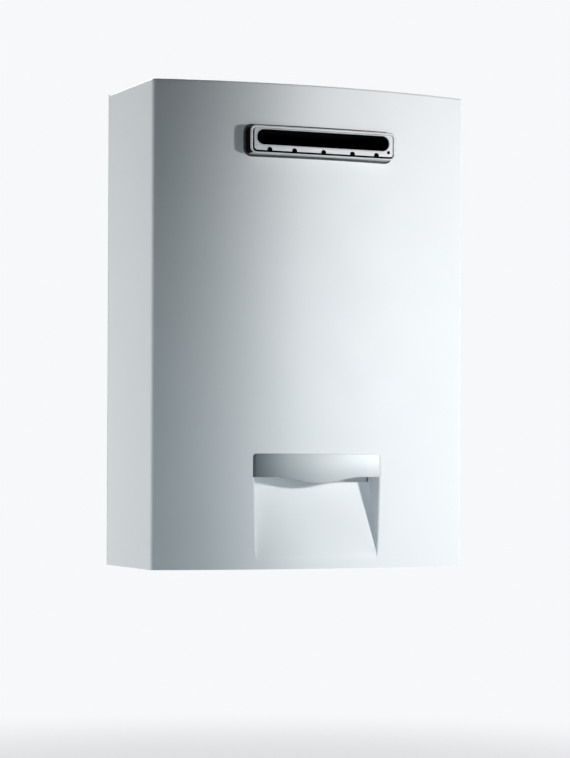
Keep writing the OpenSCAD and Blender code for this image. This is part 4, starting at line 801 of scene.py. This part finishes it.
def terminal_casing():
    """The box that stands through the cover, with a rolled lip that is thinner below."""
    half_z, neck_y = TERMINAL_H / 2, FRONT_Y + 0.002
    core_x, core_z = TERMINAL_X - TERMINAL_R, half_z - TERMINAL_R
    bm = bmesh.new()
    loop = outline(bm, TERMINAL_X, half_z, TERMINAL_R, TERMINAL_BACK, TERMINAL_Z)
    outer = quarter(-LIP_OUTER_R, TERMINAL_FRONT + LIP_OUTER_R, LIP_OUTER_R, 0, 90)
    inner = quarter(-LIP + LIP_INNER_R, TERMINAL_FRONT + LIP_INNER_R, LIP_INNER_R, 90, 180)
    front = [(0, neck_y)] + outer + inner[:1]
    lip = stepped(bm, loop, ((0, TERMINAL_Z), (core_x, core_z)), grown(front, 0))
    thinner = LIP - LOW_LIP
    for vert in {vert for edge in lip for vert in edge.verts}:
        if vert.co.z < TERMINAL_Z:
            vert.co.z -= thinner
    back = inner[1:] + [(-LIP, FACE_BACK), (-LIP, TERMINAL_BACK)]
    core = ((0, TERMINAL_Z - thinner / 2), (core_x, core_z + thinner / 2))
    last = stepped(bm, lip, core, grown(back, inner[0][0]))
    bmesh.ops.bridge_loops(bm, edges=loop + last)
    bmesh.ops.recalc_face_normals(bm, faces=bm.faces)
    inside_x, inside_z = TERMINAL_X - LIP + SLACK, half_z - LOW_LIP + SLACK
    # Painted shade: the inside of the casing behind the lip is black.
    blackened(bm, lambda c: c.y > TERMINAL_FRONT + LIP_INNER_R and abs(c.x) < inside_x
              and abs(c.z - TERMINAL_Z) < inside_z)
    # Painted shade: the end flanks are black, in place of the shade and dark reflection beside the terminal.
    blackened(bm, lambda c: c.y > PAINTED_SHADE_FLANK_Y and abs(c.x) > PAINTED_SHADE_FLANK_X)
    flange_strips(bm)
    finished(bm, "terminal_casing", "chassis", "stainless", "terminal_housing", finishes=[casing_steel, soot])


# The plate's joint with the lip is open at the left and below, and closed at the right and above
JOINT, OVERLAP = 0.0018, 0.0008
PLATE_R, PLATE_EDGE = TERMINAL_R - LIP, 0.0008
PLATE_LOW = (-TERMINAL_X + LIP + JOINT, -TERMINAL_H / 2 + LOW_LIP + JOINT)
PLATE_HIGH = (TERMINAL_X - LIP + OVERLAP, TERMINAL_H / 2 - LIP + OVERLAP)
BACKING_LOW = (-TERMINAL_X + LIP - OVERLAP, -TERMINAL_H / 2 + LOW_LIP - OVERLAP)
SLOT_W, SLOT_H, SLOT_RISE, BEAD_R, BEAD_STEPS = 0.173, 0.018, 0.0032, 0.0007, 8
DRAIN_XS, DRAIN_Z, DRAIN_R = (-0.070, -0.038, 0, 0.038, 0.070), -0.0118, 0.0033
END_HOLE, ROD_L, ROD_SIDES = (0.086, -0.0073, 0.002), 0.02, 40
SINK, BACKING_T = 0.0002, 0.001
LINER = [(0, FACE_BACK + 0.0005), (-0.0006, FACE_BACK + 0.004), (-0.0008, TERMINAL_BACK + 0.003)]


def rounded_plate(bm, low, high, steps):
    """A loop round a plate between two corners, x and z, drawn through steps of growth and depth."""
    (low_x, low_z), (high_x, high_z) = low, high
    middle, up = (low_x + high_x) / 2, TERMINAL_Z + (low_z + high_z) / 2
    half_x, half_z = (high_x - low_x) / 2, (high_z - low_z) / 2
    start = steps[0][0]
    first = outline(bm, half_x + start, half_z + start, PLATE_R + start, steps[0][1], up, middle=middle)
    core = ((middle, up), (half_x - PLATE_R, half_z - PLATE_R))
    return first, stepped(bm, first, core, grown(steps[1:], start))


def slot_loop(bm, steps):
    """A loop round the slot, drawn through steps of growth and depth."""
    start = steps[0][0]
    slot_z = TERMINAL_Z + SLOT_RISE
    half_z = SLOT_H / 2 + start
    first = outline(bm, SLOT_W / 2 + start, half_z, half_z - CLOSE, steps[0][1], slot_z, steps=20)
    return first, stepped(bm, first, ((0, slot_z), ((SLOT_W - SLOT_H) / 2, 0)), grown(steps[1:], start))


def filled(bm, loops, towards):
    """Closes the space between flat loops."""
    bmesh.ops.triangle_fill(bm, use_beauty=True, use_dissolve=False, edges=loops, normal=(0, towards, 0))


def drain_punches():
    """Rods that punch the drain holes over the lower joint, and a small hole near the right end; the holes'
    walls are black as painted shade.
    """
    bm = bmesh.new()
    for x, z, radius in [(x, DRAIN_Z, DRAIN_R) for x in DRAIN_XS] + [END_HOLE]:
        rod_along_y(bm, (x, FACE_Y, TERMINAL_Z + z), radius, ROD_L, ROD_SIDES)
    # Painted shade: every wall that these rods cut is black.
    blackened(bm, lambda c: True)
    return bm


def add_backing(piece):
    """Adds the black sheet behind the plate and its joint, and the liner that leads back from the slot, both
    black as painted shade.
    """
    bm = bmesh.new()
    bm.from_mesh(piece.data)
    kept = set(bm.faces)
    steps = [(0, FACE_BACK - SINK), (0, FACE_BACK + BACKING_T)]
    plate, plate_back = rounded_plate(bm, BACKING_LOW, PLATE_HIGH, steps)
    hole, hole_back = slot_loop(bm, steps)
    filled(bm, plate + hole, -1)
    filled(bm, plate_back + hole_back, 1)
    slot_loop(bm, LINER)
    added = [face for face in bm.faces if face not in kept]
    bmesh.ops.recalc_face_normals(bm, faces=added)
    # Painted shade: the sheet and the liner take the black finish.
    for face in added:
        face.material_index = 1
    bm.to_mesh(piece.data)
    bm.free()
    smooth(piece.data)


def terminal_plate():
    """The front plate: a slot with a rolled bead, and drain holes over the plate's lower joint."""
    edge = quarter(-PLATE_EDGE, FACE_Y + PLATE_EDGE, PLATE_EDGE, 90, 0) + [(0, FACE_BACK)]
    bead = quarter(BEAD_R, FACE_Y, BEAD_R, 0, 180, BEAD_STEPS) + [(0, FACE_Y + 0.0004), (0, FACE_BACK)]
    bm = bmesh.new()
    rim, rim_back = rounded_plate(bm, PLATE_LOW, PLATE_HIGH, edge)
    mouth, mouth_back = slot_loop(bm, bead)
    filled(bm, rim + mouth, -1)
    filled(bm, rim_back + mouth_back, 1)
    bmesh.ops.remove_doubles(bm, verts=bm.verts, dist=WELD / 2)
    bmesh.ops.recalc_face_normals(bm, faces=bm.faces)
    # Painted shade: the plate's faces behind its front, in the slot and at its back, are black.
    blackened(bm, lambda c: c.y > FACE_Y + SINK)
    piece = finished(bm, "terminal_plate", "chassis", "stainless", "terminal_face",
                     finishes=[plate_steel, soot])
    punched(piece, drain_punches())
    add_backing(piece)


terminal_casing()
terminal_plate()


# Finishes of the CAD nodes

for name, node in nodes.items():
    slot_names = [material.name.split(".")[0] for material in node.data.materials]
    node.data.materials.clear()
    for slot_name in slot_names:
        finish_name = "flue_steel" if name == "flue_collector" else slot_name
        node.data.materials.append(bpy.data.materials[finish_name])


# Floor

FLOOR_Z, FLOOR_R, FLOOR_SIDES = -0.3, 9, 96
SHADE_NEAR, SHADE_FAR, SHADE_GLOW = 0.3, 1.1, 0.6


def floor():
    """A disc that takes the heater's shadow and fades into the backdrop."""
    bm = bmesh.new()
    bmesh.ops.create_circle(bm, cap_ends=True, segments=FLOOR_SIDES, radius=FLOOR_R,
                            matrix=Matrix.Translation((0, 0, FLOOR_Z)))
    mesh = bpy.data.meshes.new("floor")
    bm.to_mesh(mesh)
    bm.free()
    piece = bpy.data.objects.new("floor", mesh)
    bpy.context.collection.objects.link(piece)
    finish = Finish("floor", Base_Color=(0.35, 0.355, 0.36, 1), Roughness=0.9)
    away = finish.new("VectorMath")
    away.operation = "LENGTH"
    finish.join(finish.stretched((1, 1, 0)), away.inputs[0])
    fade = finish.ranged(away.outputs["Value"], SHADE_NEAR, SHADE_FAR, SHADE_GLOW, 1, smooth=True)
    glow = finish.new("Emission")
    glow.inputs["Color"].default_value = BACKDROP_COLOUR
    mix = finish.new("MixShader")
    finish.join(finish.math("MULTIPLY", fade, seen_directly(finish.tree)), mix.inputs[0])
    finish.join(finish.shader.outputs[0], mix.inputs[1])
    finish.join(glow.outputs[0], mix.inputs[2])
    finish.join(mix.outputs[0], finish.surface)
    mesh.materials.append(finish.material)


floor()
